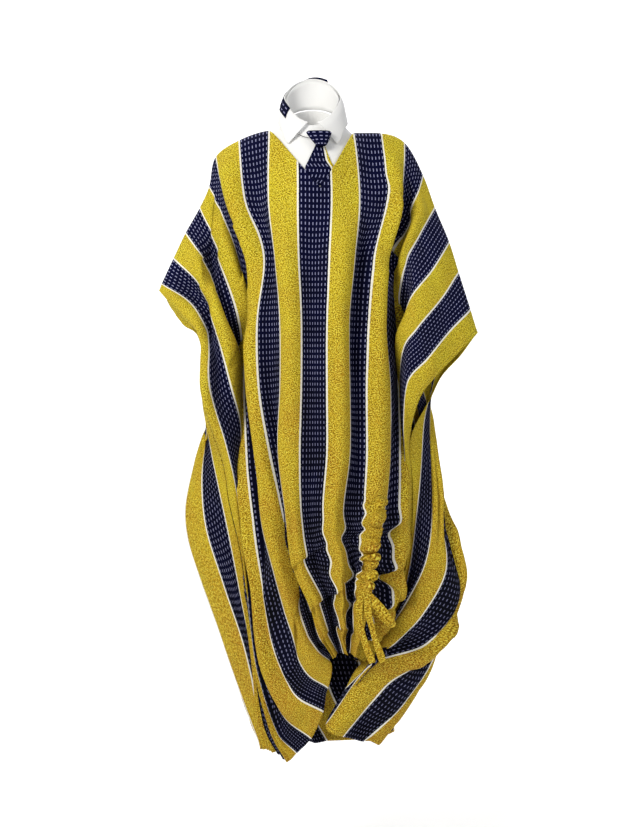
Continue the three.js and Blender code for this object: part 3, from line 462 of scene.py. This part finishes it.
def fine_creases(side, u, level):
    """Small soft creases that keep the cloth from looking pressed."""
    v = level * MIDDLE_LENGTH
    lift = np.zeros_like(u)
    random = np.random.default_rng(7 if side < 0 else 8)
    for row in FINE_CREASES:
        for _ in range(row["count"]):
            angle = random.normal(0, FINE["slant"])
            phase = random.uniform(0, 2 * np.pi, 2)
            along = (u * math.cos(angle) + v * FINE["upright"] * math.sin(angle)) / row["size"] * 2 * np.pi
            bend = FINE["bend"] * np.sin(v / (FINE["longer"] * row["size"]) + phase[1])
            lift += row["rise"] / math.sqrt(row["count"]) * np.sin(along + phase[0] + bend)
    return lift * smooth((CLOTH_HALF_WIDTH - np.abs(u)) / FINE["edge"]) * smooth(level / FINE["shoulder"])


def flat(function):
    """Lets a function of two grids work on them as one long row."""
    def wrapped(a, b):
        a, b = np.broadcast_arrays(np.asarray(a, float), np.asarray(b, float))
        return function(a.ravel(), b.ravel()).reshape(a.shape + (3,))
    return wrapped


def neck_depth(side, u):
    """How far below the shoulder fold the neckline is cut: a V in front, a shallow scoop behind."""
    beside = u - NECK_POINT
    inside = np.clip(1 - np.abs(beside) / (NECK_HALF_WIDTH - np.sign(beside) * NECK_POINT), 0, None)
    return NECK_DEPTH_FRONT * inside if side < 0 else NECK_DEPTH_BACK * np.minimum(1, inside * 3)


def panel_level(side, u, down):
    """The level of a grid's rows, which start at the neckline and crowd towards the shoulder."""
    top = neck_depth(side, u) / MIDDLE_LENGTH
    return top + (1 - top) * down**ROW_CROWDING


def seamed(side, points, u, level):
    """Draws a panel back from the shoulder and side seams that it shares with the other one."""
    shoulder = 1 - smooth(level / 0.05)
    side_seam = smooth((np.abs(u) - CLOTH_HALF_WIDTH + 30) / 30) * smooth((level - CUFF_LEVEL + 0.1) / 0.1)
    apart = SEAM_SPREAD * np.maximum(shoulder, side_seam)
    points[..., 1] += side * apart
    points[..., 0] += side * np.sign(u) * apart * side_seam
    return points


# ---- meshes ----
def cloth_piece(name, cells, place, uv, thickness, material, ring=False, hem=None):
    """A sheet from a flat grid. place(across, down) gives its points in mm, uv its cloth coordinates in mm,
    and hem how far each point is from a hemmed edge."""
    bm = bmesh.new()
    bmesh.ops.create_grid(bm, x_segments=cells[0], y_segments=cells[1], size=0.5)
    flat_places = np.array([v.co[:2] for v in bm.verts])
    across, down = flat_places[:, 0] + 0.5, 0.5 - flat_places[:, 1]
    order = np.lexsort((across, down))
    shape = (cells[1] + 1, cells[0] + 1)
    a, b = across[order].reshape(shape), down[order].reshape(shape)
    points = place(a, b) / 1000
    cloth = uv(a, b) / 1000
    spots = np.empty((len(order), 3))
    spots[order] = points.reshape(-1, 3)
    marks = np.empty((len(order), 2))
    marks[order] = cloth.reshape(-1, 2)
    if hem is not None:
        from_edge = np.empty(len(order))
        from_edge[order] = hem(a, b).ravel()
        deform = bm.verts.layers.deform.verify()
        edge_layer = bm.verts.layers.float.new("from_edge")
    layer = bm.loops.layers.uv.new("cloth")
    for v, spot in zip(bm.verts, spots):
        v.co = spot
        if hem is not None:
            v[deform][0] = float(from_edge[v.index] < HEM_DEPTH)
            v[edge_layer] = from_edge[v.index]
    for face in bm.faces:
        face.smooth = True
        for loop in face.loops:
            loop[layer].uv = marks[loop.vert.index]
    if ring:
        bmesh.ops.remove_doubles(bm, verts=bm.verts, dist=1e-6)
    bmesh.ops.recalc_face_normals(bm, faces=bm.faces)
    piece = finished(name, bm, material)
    if hem is not None:
        piece.vertex_groups.new(name="hem")
    wall = piece.modifiers.new("wall", "SOLIDIFY")
    wall.thickness = thickness / 1000
    wall.offset = 0
    if hem is not None:
        wall.vertex_group = "hem"
        wall.thickness_vertex_group = 0.5
    return piece


def finished(name, bm, material):
    """Turns a bmesh into an object with its material."""
    mesh = bpy.data.meshes.new(name)
    bm.to_mesh(mesh)
    bm.free()
    piece = bpy.data.objects.new(name + "_cloth", mesh)
    bpy.context.collection.objects.link(piece)
    mesh.materials.append(material)
    return piece


def settle(piece, node):
    """Puts a piece on the dress's one body, in place of its plain solid."""
    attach(piece, "root")
    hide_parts(node)
    return piece


# ---- materials ----
def colour(code):
    """Linear red, green, blue and alpha of an sRGB hex colour."""
    parts = [int(code[i:i + 2], 16) / 255 for i in (1, 3, 5)]
    return [p / 12.92 if p <= 0.04045 else ((p + 0.055) / 1.055) ** 2.4 for p in parts] + [1]


def add(tree, kind, inputs=(), out=0, **settings):
    """A shader node with its settings, its inputs set or linked in order or by name. Gives one output."""
    node = tree.nodes.new("ShaderNode" + kind)
    for key, value in settings.items():
        setattr(node, key, value)
    for key, value in inputs.items() if isinstance(inputs, dict) else enumerate(inputs):
        if isinstance(value, bpy.types.NodeSocket):
            tree.links.new(value, node.inputs[key])
        else:
            node.inputs[key].default_value = value
    return node.outputs[out]


def started(name, **sockets):
    """A new material with a Principled shader whose own sockets are set."""
    material = bpy.data.materials.new(name)
    material.use_nodes = True
    shader = material.node_tree.nodes["Principled BSDF"]
    for key, value in sockets.items():
        shader.inputs[key.replace("_", " ")].default_value = value
    return material, material.node_tree, shader


STRIPE = dict(navy_half=35, yellow=62, repeat=128, line=3.7)
# size is how long the edges' wander is, and far how wide
WANDER = dict(size=2.857, far=1.6)
# shift moves the columns of dashes on the outer stripes, so that they fill each stripe evenly
DASH = dict(across=8.0, down=12.0, width=1.9, length=5.9, shift=-2.0)
FLECK_SIZE = 2.2222
PATCH_SIZE = 90.91
CRUSH_SIZE = 20
# real threads lie 0.3 mm apart, too fine to show, so the weave is drawn about twice as coarse
THREAD = dict(warp=0.55, weft=0.6)
RELIEF = dict(weave=0.04, crush=1.6, stitch=0.5)
# the turned hem is this deep, and its stitches run this far inside the edge
HEM_DEPTH = 9
STITCH = dict(inside=7.4, pitch=3.4, share=0.76, width=0.8, shows=0.6)


def wax_print():
    """Wax-print cotton, a plain weave dyed on both faces. It is matt: navy stripes carry rows of pale dashes,
    yellow stripes are full of specks, and white lines part them."""
    material, tree, shader = started("wax_print_cotton", Roughness=0.85, Sheen_Weight=0.02,
                                     Specular_IOR_Level=0.06)
    cloth = add(tree, "UVMap", uv_map="cloth")
    place = add(tree, "VectorMath", {0: cloth, "Scale": 1000.0}, operation="SCALE")
    sideways, along = add(tree, "SeparateXYZ", [place]), add(tree, "SeparateXYZ", [place], 1)
    across = add(tree, "Math", [sideways], operation="ABSOLUTE")

    # a print's edges are never quite sharp or straight
    edge = add(tree, "TexNoise", {"Vector": place, "Scale": 1 / WANDER["size"], "Detail": 1.0})
    spot = add(tree, "Math", [edge, WANDER["far"], across], operation="MULTIPLY_ADD")
    beyond = add(tree, "Math", [spot, STRIPE["navy_half"] + WANDER["far"] / 2], operation="SUBTRACT")
    step = add(tree, "Math", [beyond, STRIPE["repeat"]], operation="FLOORED_MODULO")
    in_yellow = add(tree, "Math", [step, STRIPE["yellow"]], operation="LESS_THAN")
    to_start = add(tree, "Math", [step, STRIPE["repeat"] / 2], operation="PINGPONG")
    at_start = add(tree, "Math", [to_start, STRIPE["line"] / 2], operation="LESS_THAN")
    at_end = add(tree, "Math", [step, STRIPE["yellow"], STRIPE["line"] / 2], operation="COMPARE")
    on_line = add(tree, "Math", [at_start, at_end], operation="MAXIMUM")

    # dashes stand in columns and rows
    outer = add(tree, "Math", [across, STRIPE["navy_half"]], operation="GREATER_THAN")
    shifted = add(tree, "Math", [outer, DASH["shift"], across], operation="MULTIPLY_ADD")
    marks = []
    for way, pitch, size in ((shifted, "across", "width"), (along, "down", "length")):
        cell = add(tree, "Math", [way, DASH[pitch]], operation="FLOORED_MODULO")
        marks.append(add(tree, "Math", [cell, DASH[pitch] / 2, DASH[size] / 2], operation="COMPARE"))
    dash = add(tree, "Math", marks, operation="MULTIPLY")

    # fine wandering flecks over the yellow, dark ones and pale ones
    fleck = add(tree, "TexNoise", {"Vector": place, "Scale": 1 / FLECK_SIZE, "Detail": 1.0,
                                   "Distortion": 0.4})
    dark = add(tree, "MapRange", [fleck, 0.47, 0.40, 0.0, 0.85])
    pale = add(tree, "MapRange", [fleck, 0.54, 0.62, 0.0, 0.8])

    # painted shade: towards the hem the yellow is painted from lemon to amber and the navy and its dashes
    # darker, for the shade on the lower cloth; a large noise also makes the dye a little patchy
    patch = add(tree, "TexNoise", {"Vector": place, "Scale": 1 / PATCH_SIZE, "Detail": 2.0})
    painted_hem_shade = add(tree, "MapRange", [along, 0.0, 1000.0, -0.25, 0.35])
    patches_and_painted_shade = add(tree, "Math", [patch, painted_hem_shade], operation="ADD", use_clamp=True)
    gold = add(tree, "Mix", {0: patches_and_painted_shade, 6: colour("#dac82a"), 7: colour("#bc8826")}, 2, data_type="RGBA")
    flecked = add(tree, "Mix", {0: dark, 6: gold, 7: colour("#5c430c")}, 2, data_type="RGBA")
    yellow = add(tree, "Mix", {0: pale, 6: flecked, 7: colour("#f4e95c")}, 2, data_type="RGBA")
    # painted shade: the navy ground and its pale dashes are darker towards the hem, with random patches as
    # well
    ground = add(tree, "Mix", {0: patches_and_painted_shade, 6: colour("#060a34"), 7: colour("#05050c")}, 2, data_type="RGBA")
    dashes = add(tree, "Mix", {0: patches_and_painted_shade, 6: colour("#a6a8d0"), 7: colour("#686a88")}, 2, data_type="RGBA")
    navy = add(tree, "Mix", {0: dash, 6: ground, 7: dashes}, 2, data_type="RGBA")
    striped = add(tree, "Mix", {0: in_yellow, 6: navy, 7: yellow}, 2, data_type="RGBA")
    lined = add(tree, "Mix", {0: on_line, 6: striped, 7: colour("#f4f1e6")}, 2, data_type="RGBA")

    # a row of dark topstitches holds each hem
    from_edge = add(tree, "Attribute", out="Fac", attribute_name="from_edge")
    in_row = add(tree, "Math", [from_edge, STITCH["inside"], STITCH["width"] / 2], operation="COMPARE")
    run = add(tree, "Math", [sideways, along], operation="ADD")
    cell = add(tree, "Math", [run, STITCH["pitch"]], operation="FLOORED_MODULO")
    on_thread = add(tree, "Math", [cell, STITCH["share"] * STITCH["pitch"]], operation="LESS_THAN")
    stitch = add(tree, "Math", [in_row, on_thread], operation="MULTIPLY")
    shown = add(tree, "Math", [stitch, STITCH["shows"]], operation="MULTIPLY")
    sewn = add(tree, "Mix", {0: shown, 6: lined, 7: colour("#262842")}, 2, data_type="RGBA")
    tree.links.new(sewn, shader.inputs["Base Color"])

    # plain weave, soft crushing from wear, and the stitches
    threads = []
    for way, spacing in ((sideways, THREAD["warp"]), (along, THREAD["weft"])):
        turn = add(tree, "Math", [way, 2 * math.pi / spacing], operation="MULTIPLY")
        threads.append(add(tree, "Math", [turn], operation="SINE"))
    weave = add(tree, "Math", threads, operation="MULTIPLY")
    crush = add(tree, "TexNoise", {"Vector": place, "Scale": 1 / CRUSH_SIZE, "Detail": 3.0, "Roughness": 0.6})
    height = 0.0
    for form, high in ((weave, "weave"), (crush, "crush"), (stitch, "stitch")):
        height = add(tree, "Math", [form, RELIEF[high], height], operation="MULTIPLY_ADD")
    bump = add(tree, "Bump", {"Height": height, "Strength": 0.35, "Distance": 0.001})
    tree.links.new(bump, shader.inputs["Normal"])
    return material


SHIRT_DENT = 22.2


def shirting():
    """Bleached and pressed shirt cotton, smooth and a cool white, with slow dents that catch the light."""
    material, tree, shader = started("white_shirting", Base_Color=colour("#fafafa"), Roughness=0.7,
                                     Sheen_Weight=0.1, Specular_IOR_Level=0.3)
    place = add(tree, "TexCoord", out="Object")
    dents = add(tree, "TexNoise", {"Vector": place, "Scale": 1000 / SHIRT_DENT, "Detail": 3.0})
    bump = add(tree, "Bump", {"Height": dents, "Strength": 0.25, "Distance": 0.001})
    tree.links.new(bump, shader.inputs["Normal"])
    return material


WAX_PRINT = wax_print()
SHIRTING = shirting()


# ---- front and back ----
def panel(side, name):
    """The front (-1) or back (1) panel: a sheet of print cloth that hangs from the shoulders."""
    def place(a, b):
        u = CLOTH_HALF_WIDTH * (2 * a - 1)
        level = panel_level(side, u, b)
        return seamed(side, flat(lambda p, q: cloth_point(side, p, q))(u, level), u, level)

    def uv(a, b):
        u = CLOTH_HALF_WIDTH * (2 * a - 1)
        return np.stack([u, panel_level(side, u, b) * length_at(u)], axis=-1)

    def hem(a, b):
        u = CLOTH_HALF_WIDTH * (2 * a - 1)
        level = panel_level(side, u, b)
        to_hem = (1 - level) * length_at(u)
        to_cuff = np.where(level < CUFF_LEVEL, CLOTH_HALF_WIDTH - np.abs(u), 1e3)
        to_neck = np.where(np.abs(u) < NECK_HALF_WIDTH, level * MIDDLE_LENGTH - neck_depth(side, u), 1e3)
        return np.minimum(np.minimum(to_hem, to_cuff), to_neck)

    piece = cloth_piece(name, PANEL_CELLS, place, uv, THICK["panel"], WAX_PRINT, hem=hem)
    settle(piece, name)
    return piece


panel(-1, "front_panel")
panel(1, "back_panel")

# ---- neck ----
NECK = dict(x=-7, y=-4, half_width=59, half_depth=58)
YOKE_BEHIND = 6
YOKE_UNDER = 16
YOKE_EDGE = 0.72
BASE_HEIGHT = dict(front=-30, side=20, back=58)
FOLD_HEIGHT = dict(front=3, side=72, back=128)
STAND = dict(above=1.4, out=0.2, lean=4, below=4)
LEAF_GAP = 0.16
LEAF_ABOVE = 2.6
LEAF_DROP = dict(back=57, front=44)
LEAF = dict(out=1.2, roll=4, flare=11, point=0.62)


def by_angle(angle, front, side, back):
    """A size that goes round the neck from front to side to back."""
    turn = np.cos(angle)
    toward = np.abs(turn)
    return side + np.where(turn > 0, (front - side) * toward**1.4, (back - side) * toward**1.2)


def neck_ring(angle, out, height):
    """A point of the collar's oval, moved out from the neck. Angle 0 is the front."""
    return np.stack(np.broadcast_arrays(
        NECK["x"] + (NECK["half_width"] + out) * np.sin(angle),
        NECK["y"] - (NECK["half_depth"] + out) * np.cos(angle), height), axis=-1)


def base_height(angle):
    return by_angle(angle, **BASE_HEIGHT)


def fold_height(angle):
    return by_angle(angle, **FOLD_HEIGHT)


def behind_neckline(angle, under):
    """Where the yoke lies inside the dress, this far under the neckline's edge."""
    turn = np.arcsin(np.clip(np.sin(angle), -1, 1)) / (np.pi / 2)
    u = turn * NECK_HALF_WIDTH
    points = np.empty(np.shape(angle) + (3,))
    for side in (-1, 1):
        here = (np.cos(angle) > 0) == (side < 0)
        surface = flat(lambda a, b: cloth_point(side, a, b, fine=False))
        level = neck_depth(side, u) / MIDDLE_LENGTH
        edge = seamed(side, surface(u, level), u, level)
        second = seamed(side, surface(u, level + 20 / MIDDLE_LENGTH), u, level + 20 / MIDDLE_LENGTH)
        down = unit(second - edge)
        beside = np.clip(u + 3, -NECK_HALF_WIDTH, NECK_HALF_WIDTH)
        before = np.clip(u - 3, -NECK_HALF_WIDTH, NECK_HALF_WIDTH)
        along = surface(beside, neck_depth(side, beside) / MIDDLE_LENGTH) - surface(
            before, neck_depth(side, before) / MIDDLE_LENGTH)
        inward = unit(np.cross(down, along)) * side
        corner = smooth((np.abs(turn) - 0.75) / 0.25)[..., None]
        below = np.broadcast_to([0.0, 0.0, -1.0], inward.shape)
        inward = unit(inward * (1 - corner) + below * corner)
        beyond = np.stack([np.sign(turn), 0 * turn, 0 * turn - 0.5], axis=-1)
        down = unit(down * (1 - corner) + beyond * corner)
        found = edge + down * np.asarray(under)[..., None] + inward * YOKE_BEHIND
        points[here] = found[here]
    return points


def yoke_point(angle, out):
    """The yoke runs from the collar's foot to the neckline, and on behind the dress."""
    inner = neck_ring(angle, -0.5, base_height(angle))
    edge = behind_neckline(angle, np.zeros_like(angle))
    deep = behind_neckline(angle, np.full_like(angle, YOKE_UNDER))
    first = np.clip(out / YOKE_EDGE, 0, 1)[..., None]
    second = np.clip((out - YOKE_EDGE) / (1 - YOKE_EDGE), 0, 1)[..., None]
    return (inner * (1 - first) + edge * first) * (1 - second) + deep * second


def no_marks(a, b):
    """Cloth places for plain shirting, which has no print."""
    return np.stack([a * 100, b * 100], axis=-1)


def yoke_place(a, b):
    return yoke_point(2 * np.pi * a, b)


YOKE_GRID = yoke_place(*np.meshgrid(np.linspace(0, 1, 97), np.linspace(0, 1, 15)))


def yoke_face(x, z):
    """How far forward the yoke's front stands at places of the front view; no number beside it."""
    face = np.full(x.shape, np.inf)
    g = YOKE_GRID
    for i in range(g.shape[0] - 1):
        for j in range(g.shape[1] - 1):
            for a, b, c in ((g[i, j], g[i, j + 1], g[i + 1, j + 1]), (g[i, j], g[i + 1, j + 1], g[i + 1, j])):
                if min(a[1], b[1], c[1]) > 0:
                    continue
                area = (b[0] - a[0]) * (c[2] - a[2]) - (c[0] - a[0]) * (b[2] - a[2])
                if abs(area) < 1e-9:
                    continue
                to_b = ((x - a[0]) * (c[2] - a[2]) - (c[0] - a[0]) * (z - a[2])) / area
                to_c = ((b[0] - a[0]) * (z - a[2]) - (x - a[0]) * (b[2] - a[2])) / area
                inside = (to_b >= -1e-6) & (to_c >= -1e-6) & (to_b + to_c <= 1 + 1e-6)
                y = a[1] + (b[1] - a[1]) * to_b + (c[1] - a[1]) * to_c
                face = np.where(inside, np.minimum(face, y), face)
    return face


yoke = cloth_piece("shirt_yoke", (128, 18), yoke_place, no_marks, THICK["yoke"], SHIRTING, ring=True)
settle(yoke, "shirt_yoke")


def stand_place(a, b):
    """The collar stand rises from the yoke and leans in a little."""
    angle = 2 * np.pi * a
    base, top = base_height(angle) + STAND["above"], fold_height(angle) - STAND["below"]
    return neck_ring(angle, STAND["out"] - STAND["lean"] * b, base + (top - base) * b)


stand = cloth_piece("collar_stand", (128, 6), stand_place, no_marks, THICK["stand"], SHIRTING,
                    ring=True)
settle(stand, "collar_stand")


def leaf_point(angle, down, out=0):
    """The collar leaf rolls over the stand and falls to its edge, in front of the yoke."""
    to_front = np.abs(np.pi - angle) / np.pi
    drop = LEAF_DROP["back"] + (LEAF_DROP["front"] - LEAF_DROP["back"]) * smooth((to_front - 0.5) / 0.35)
    turned = np.where(angle < np.pi, 1, -1) * LEAF["point"] * down * smooth((to_front - 0.6) / 0.4)
    away = LEAF["out"] + LEAF["roll"] * np.sin(np.minimum(1, down * 3) * np.pi / 2) + LEAF["flare"] * down
    point = neck_ring(angle + turned, away + out, fold_height(angle) - drop * down)
    face = yoke_face(point[..., 0], point[..., 2])
    forward = np.where(point[..., 1] < 0, np.minimum(point[..., 1], face - LEAF_ABOVE), point[..., 1])
    point[..., 1] = forward
    return point


leaf = cloth_piece(
    "collar_leaf", (160, 22), lambda a, b: leaf_point(LEAF_GAP + (2 * np.pi - 2 * LEAF_GAP) * a, b),
    no_marks, THICK["leaf"], SHIRTING)
settle(leaf, "collar_leaf")

BAND = dict(start=0.82 * np.pi, end=1.71 * np.pi, width=0.46, out=2.0)
BAND_TOPS = [-0.09, -0.06, 0.03, 0.04, 0.02, -0.04]


def band_place(a, b):
    """The tie's band lies on the collar leaf, from the back of the neck round to its side."""
    angle = BAND["start"] + (BAND["end"] - BAND["start"]) * a
    top = curve_through(np.linspace(0, 1, len(BAND_TOPS)), BAND_TOPS, a.ravel()).reshape(a.shape)
    return leaf_point(angle, top + BAND["width"] * b, BAND["out"])


band = cloth_piece("tie_band", (60, 8), band_place,
                   lambda a, b: np.stack([-10 + 20 * b, 170 * a], axis=-1), THICK["tie_band"], WAX_PRINT)
settle(band, "tie_band")

KNOT = dict(x=5, lean=6, y=-74.9, top=-17, bottom=-49, half_top=27, half_bottom=9.5, half_depth=8)


def tie_knot():
    """The knot is a round loop of the tie, wider at the top and fullest halfway down."""
    def place(a, b):
        angle = 2 * np.pi * a
        z = KNOT["top"] + (KNOT["bottom"] - KNOT["top"]) * b
        half = KNOT["half_top"] + (KNOT["half_bottom"] - KNOT["half_top"]) * b**1.3
        depth = KNOT["half_depth"] * (0.75 + 0.25 * np.sin(b * np.pi))
        closing = 1 - 0.2 * (smooth((0.1 - b) / 0.1) + smooth((b - 0.9) / 0.1))
        return np.stack([
            KNOT["x"] + KNOT["lean"] * b + half * closing * np.cos(angle),
            KNOT["y"] - 4 + depth * closing * np.sin(angle) - 0.18 * (KNOT["bottom"] - z), z], axis=-1)

    def uv(a, b):
        return np.stack([-16 + 32 * b, 132 * a], axis=-1)

    return cloth_piece("tie_knot", (48, 16), place, uv, THICK["tie"], WAX_PRINT, ring=True)


settle(tie_knot(), "tie_knot")

BLADE_ABOVE = 2.1
# yellow is how much of the next stripe shows along the right edge
BLADE_EDGES = [
    dict(z=-43, left=-0.5, right=17, yellow=2),
    dict(z=-63, left=-9, right=24, yellow=5),
    dict(z=-81, left=-17, right=31, yellow=8),
    dict(z=-98, left=-23, right=38, yellow=5),
    dict(z=-118, left=-13, right=29, yellow=0),
    dict(z=-134, left=2, right=19, yellow=-1),
]


def blade_edge(column, b):
    heights = np.linspace(0, 1, len(BLADE_EDGES))
    return curve_through(heights, [row[column] for row in BLADE_EDGES], b.ravel()).reshape(b.shape)


def blade_place(a, b):
    left, z = blade_edge("left", b), blade_edge("z", b)
    x = left + (blade_edge("right", b) - left) * a
    face = yoke_face(x, z)
    return np.stack([x, np.where(np.isfinite(face), face, KNOT["y"]) - BLADE_ABOVE, z], axis=-1)


def blade_cloth(a, b):
    """The blade is cut so that its right edge takes in some of the yellow stripe."""
    from_right = (blade_edge("right", b) - blade_edge("left", b)) * (1 - a)
    across = STRIPE["navy_half"] + blade_edge("yellow", b) - from_right
    return np.stack([across, -blade_edge("z", b)], axis=-1)


blade = cloth_piece("tie_blade", (48, 40), blade_place, blade_cloth, THICK["tie"], WAX_PRINT)
settle(blade, "tie_blade")


# ---- drawstring ----
def on_front(u, level, out):
    """A place that lies on the front panel, moved out."""
    surface = flat(lambda a, b: cloth_point(-1, a, b))
    away = flat(lambda a, b: outward(-1, lambda p, q: cloth_point(-1, p, q, fine=False), a, b))
    return surface(u, level) + away(u, level) * np.asarray(out)[..., None]


def casing_place(a, b):
    """The casing narrows downwards, and its sides and face bulge at each ruche."""
    level = CASING["top"] + (CASING["bottom"] - CASING["top"]) * b
    turn = ruche_turn(level) + 1.3 * np.sin(4 * a + 9 * b)
    lobe = 1 + CASING["lobe"] * np.sin(turn + 0.8) + 0.1 * np.sin(2.7 * turn)
    half = (CASING["half_top"] + (CASING["half_bottom"] - CASING["half_top"]) * b) * lobe
    wave = 1 - np.abs(np.cos(turn / 2)) + 0.22 * np.sin(2 * turn + 7 * a)
    crown = np.clip(wave, 0, None) * (0.3 + 0.7 * np.sin(np.pi * a))
    out = CASING["out"] + CASING["bulge"] * CASING["rise"] * crown
    return on_front(CASING_U + half * (2 * a - 1), level + CASING["slant"] * np.sin(turn + 5 * a), out)


def casing_cloth(a, b):
    return np.stack([175 + 40 * a, 820 + 420 * b], axis=-1)


casing = cloth_piece("drawstring_casing", (20, 160), casing_place, casing_cloth, THICK["casing"], WAX_PRINT)
settle(casing, "drawstring_casing")

BOW = np.array([93.9, -140.4, -982.4])
BOW_HALF = dict(wide=9, thick=2.4)
END_HALF = dict(wide=6.5, thick=2)
STRIP_PLACES = 60
BOW_ROUTE = [(-6, -1, 8), (10, -6, 4), (32, -9, -16), (52, -9, -40), (60, -4, -52), (52, 1, -46),
             (32, 1, -24), (12, 0, -6)]
STRING_ENDS = {
    "drawstring_end_left": [(-3, -6.9, 5), (-6, -7, -10), (-7, -7, -30), (-5, -7, -48), (-1, -7, -68),
                            (5, -7, -90), (13, -6, -112), (20, -6, -130)],
    "drawstring_end_right": [(9, -10.1, 5), (10, -12, -14), (12, -13, -34), (17, -13, -52), (23, -12, -74),
                             (30, -11, -96), (37, -10, -116), (41, -9, -128)],
}


def smooth_route(route, count):
    """Points along a smooth curve through a route's places."""
    knots = np.linspace(0, 1, len(route))
    at = np.linspace(0, 1, count)
    places = np.array(route, float)
    return np.stack([curve_through(knots, places[:, i], at) for i in range(3)], axis=-1)


def strip_cord(name, route, half):
    """A narrow folded strip of the dress's cloth that follows a route."""
    path = smooth_route([BOW + np.array(p) for p in route], STRIP_PLACES)
    wrung = 1 + 0.14 * np.sin(np.linspace(0, 9, STRIP_PLACES))
    tangent = unit(np.gradient(path, axis=0))
    forward = np.array([0.0, -1.0, 0.0])
    thick = unit(forward - tangent * (tangent @ forward)[:, None])
    wide = np.cross(tangent, thick)

    def place(a, b):
        angle = 2 * np.pi * a
        i = np.rint(b * (STRIP_PLACES - 1)).astype(int)
        pinched = np.sin(angle) * (0.45 + np.abs(np.cos(angle)))
        return (path[i] + wide[i] * (half["wide"] * wrung[i] * np.cos(angle))[..., None]
                + thick[i] * (half["thick"] * pinched)[..., None])

    def uv(a, b):
        return np.stack([44 + 3.6 * half["wide"] * a, 900 + 130 * b], axis=-1)

    piece = cloth_piece(name, (24, STRIP_PLACES - 1), place, uv, THICK["strip"], WAX_PRINT, ring=True)
    settle(piece, name)
    length = float(np.linalg.norm(np.diff(path, axis=0), axis=1).sum()) / 1000
    return piece, path / 1000, length


strip_cord("drawstring_bow", BOW_ROUTE, BOW_HALF)
for end_name, end_route in STRING_ENDS.items():
    end, end_path, end_length = strip_cord(end_name, end_route, END_HALF)

# ---- floor, light and camera ----
# in metres, because nothing here is cut from cloth
FLOOR = -1.62
SWEEP = dict(front=-6.0, curve_start=3.4, curve_radius=1.4, height=7.0, half_width=10)
SOFTBOXES = [
    dict(name="key", place=(-1.35, -1.9, 0.6), aim=(0, 0, -0.40), size=(0.8, 0.8), watts=43, tint="#fffdf6"),
    dict(name="fill", place=(2.0, -2.0, 0.6), aim=(0, 0, -0.3), size=(1.2, 1.4), watts=13, tint="#ffffff"),
    dict(name="wash", place=(0, 1.9, 2.9), aim=(0, 4.4, -0.8), size=(6, 1), watts=300, tint="#ffffff"),
]
ROOM = dict(light="#f7f8fa", strength=0.29)


def sweep():
    """A pale painted floor that curves up into a backdrop, quite matt."""
    material, _, _ = started("pale_backdrop", Roughness=0.9, Base_Color=colour("#f2f2f2"))
    start, turn = SWEEP["curve_start"], SWEEP["curve_radius"]
    profile = [(SWEEP["front"], 0.0), (start, 0.0)]
    for angle in np.linspace(0.1, math.pi / 2, 14):
        profile.append((start + turn * math.sin(angle), turn * (1 - math.cos(angle))))
    profile.append((start + turn, SWEEP["height"]))
    bm = bmesh.new()
    line = [bm.verts.new((-SWEEP["half_width"], y, FLOOR + z)) for y, z in profile]
    edges = [bm.edges.new(ends) for ends in zip(line, line[1:])]
    drawn = bmesh.ops.extrude_edge_only(bm, edges=edges)["geom"]
    far_side = [part for part in drawn if isinstance(part, bmesh.types.BMVert)]
    bmesh.ops.translate(bm, verts=far_side, vec=(2 * SWEEP["half_width"], 0, 0))
    for face in bm.faces:
        face.smooth = True
    finished("backdrop", bm, material)


def softbox(name, place, aim, size, watts, tint):
    """A flat studio light that faces its aim."""
    light = bpy.data.lights.new(name, "AREA")
    light.shape, light.size, light.size_y = "RECTANGLE", size[0], size[1]
    light.energy = watts
    light.color = colour(tint)[:3]
    holder = bpy.data.objects.new(name, light)
    bpy.context.collection.objects.link(holder)
    holder.location = place
    holder.rotation_euler = (Vector(aim) - Vector(place)).to_track_quat("-Z", "Y").to_euler()


sweep()
for box in SOFTBOXES:
    softbox(**box)

world = bpy.data.worlds.new("studio")
bpy.context.scene.world = world
world.use_nodes = True
room_light = world.node_tree.nodes["Background"]
room_light.inputs["Color"].default_value = colour(ROOM["light"])
room_light.inputs["Strength"].default_value = ROOM["strength"]
bpy.context.scene.view_settings.view_transform = "Standard"

# The camera looks level along +Y from straight in front, at the height of the thighs.
CAMERA = dict(x=-0.0129, distance=2.55, z=-0.607, sensor=36)
PIXEL = 0.00215  # metres of the dress's middle plane to a pixel of the frame
FRAME_HEIGHT = 827
camera_data = bpy.data.cameras.new("camera")
camera_data.sensor_width = CAMERA["sensor"]
camera_data.lens = CAMERA["sensor"] * CAMERA["distance"] / (FRAME_HEIGHT * PIXEL)
camera = bpy.data.objects.new("camera", camera_data)
bpy.context.collection.objects.link(camera)
camera.location = (CAMERA["x"], -CAMERA["distance"], CAMERA["z"])
camera.rotation_euler = (math.pi / 2, 0, 0)
bpy.context.scene.camera = camera

bpy.context.view_layer.update()
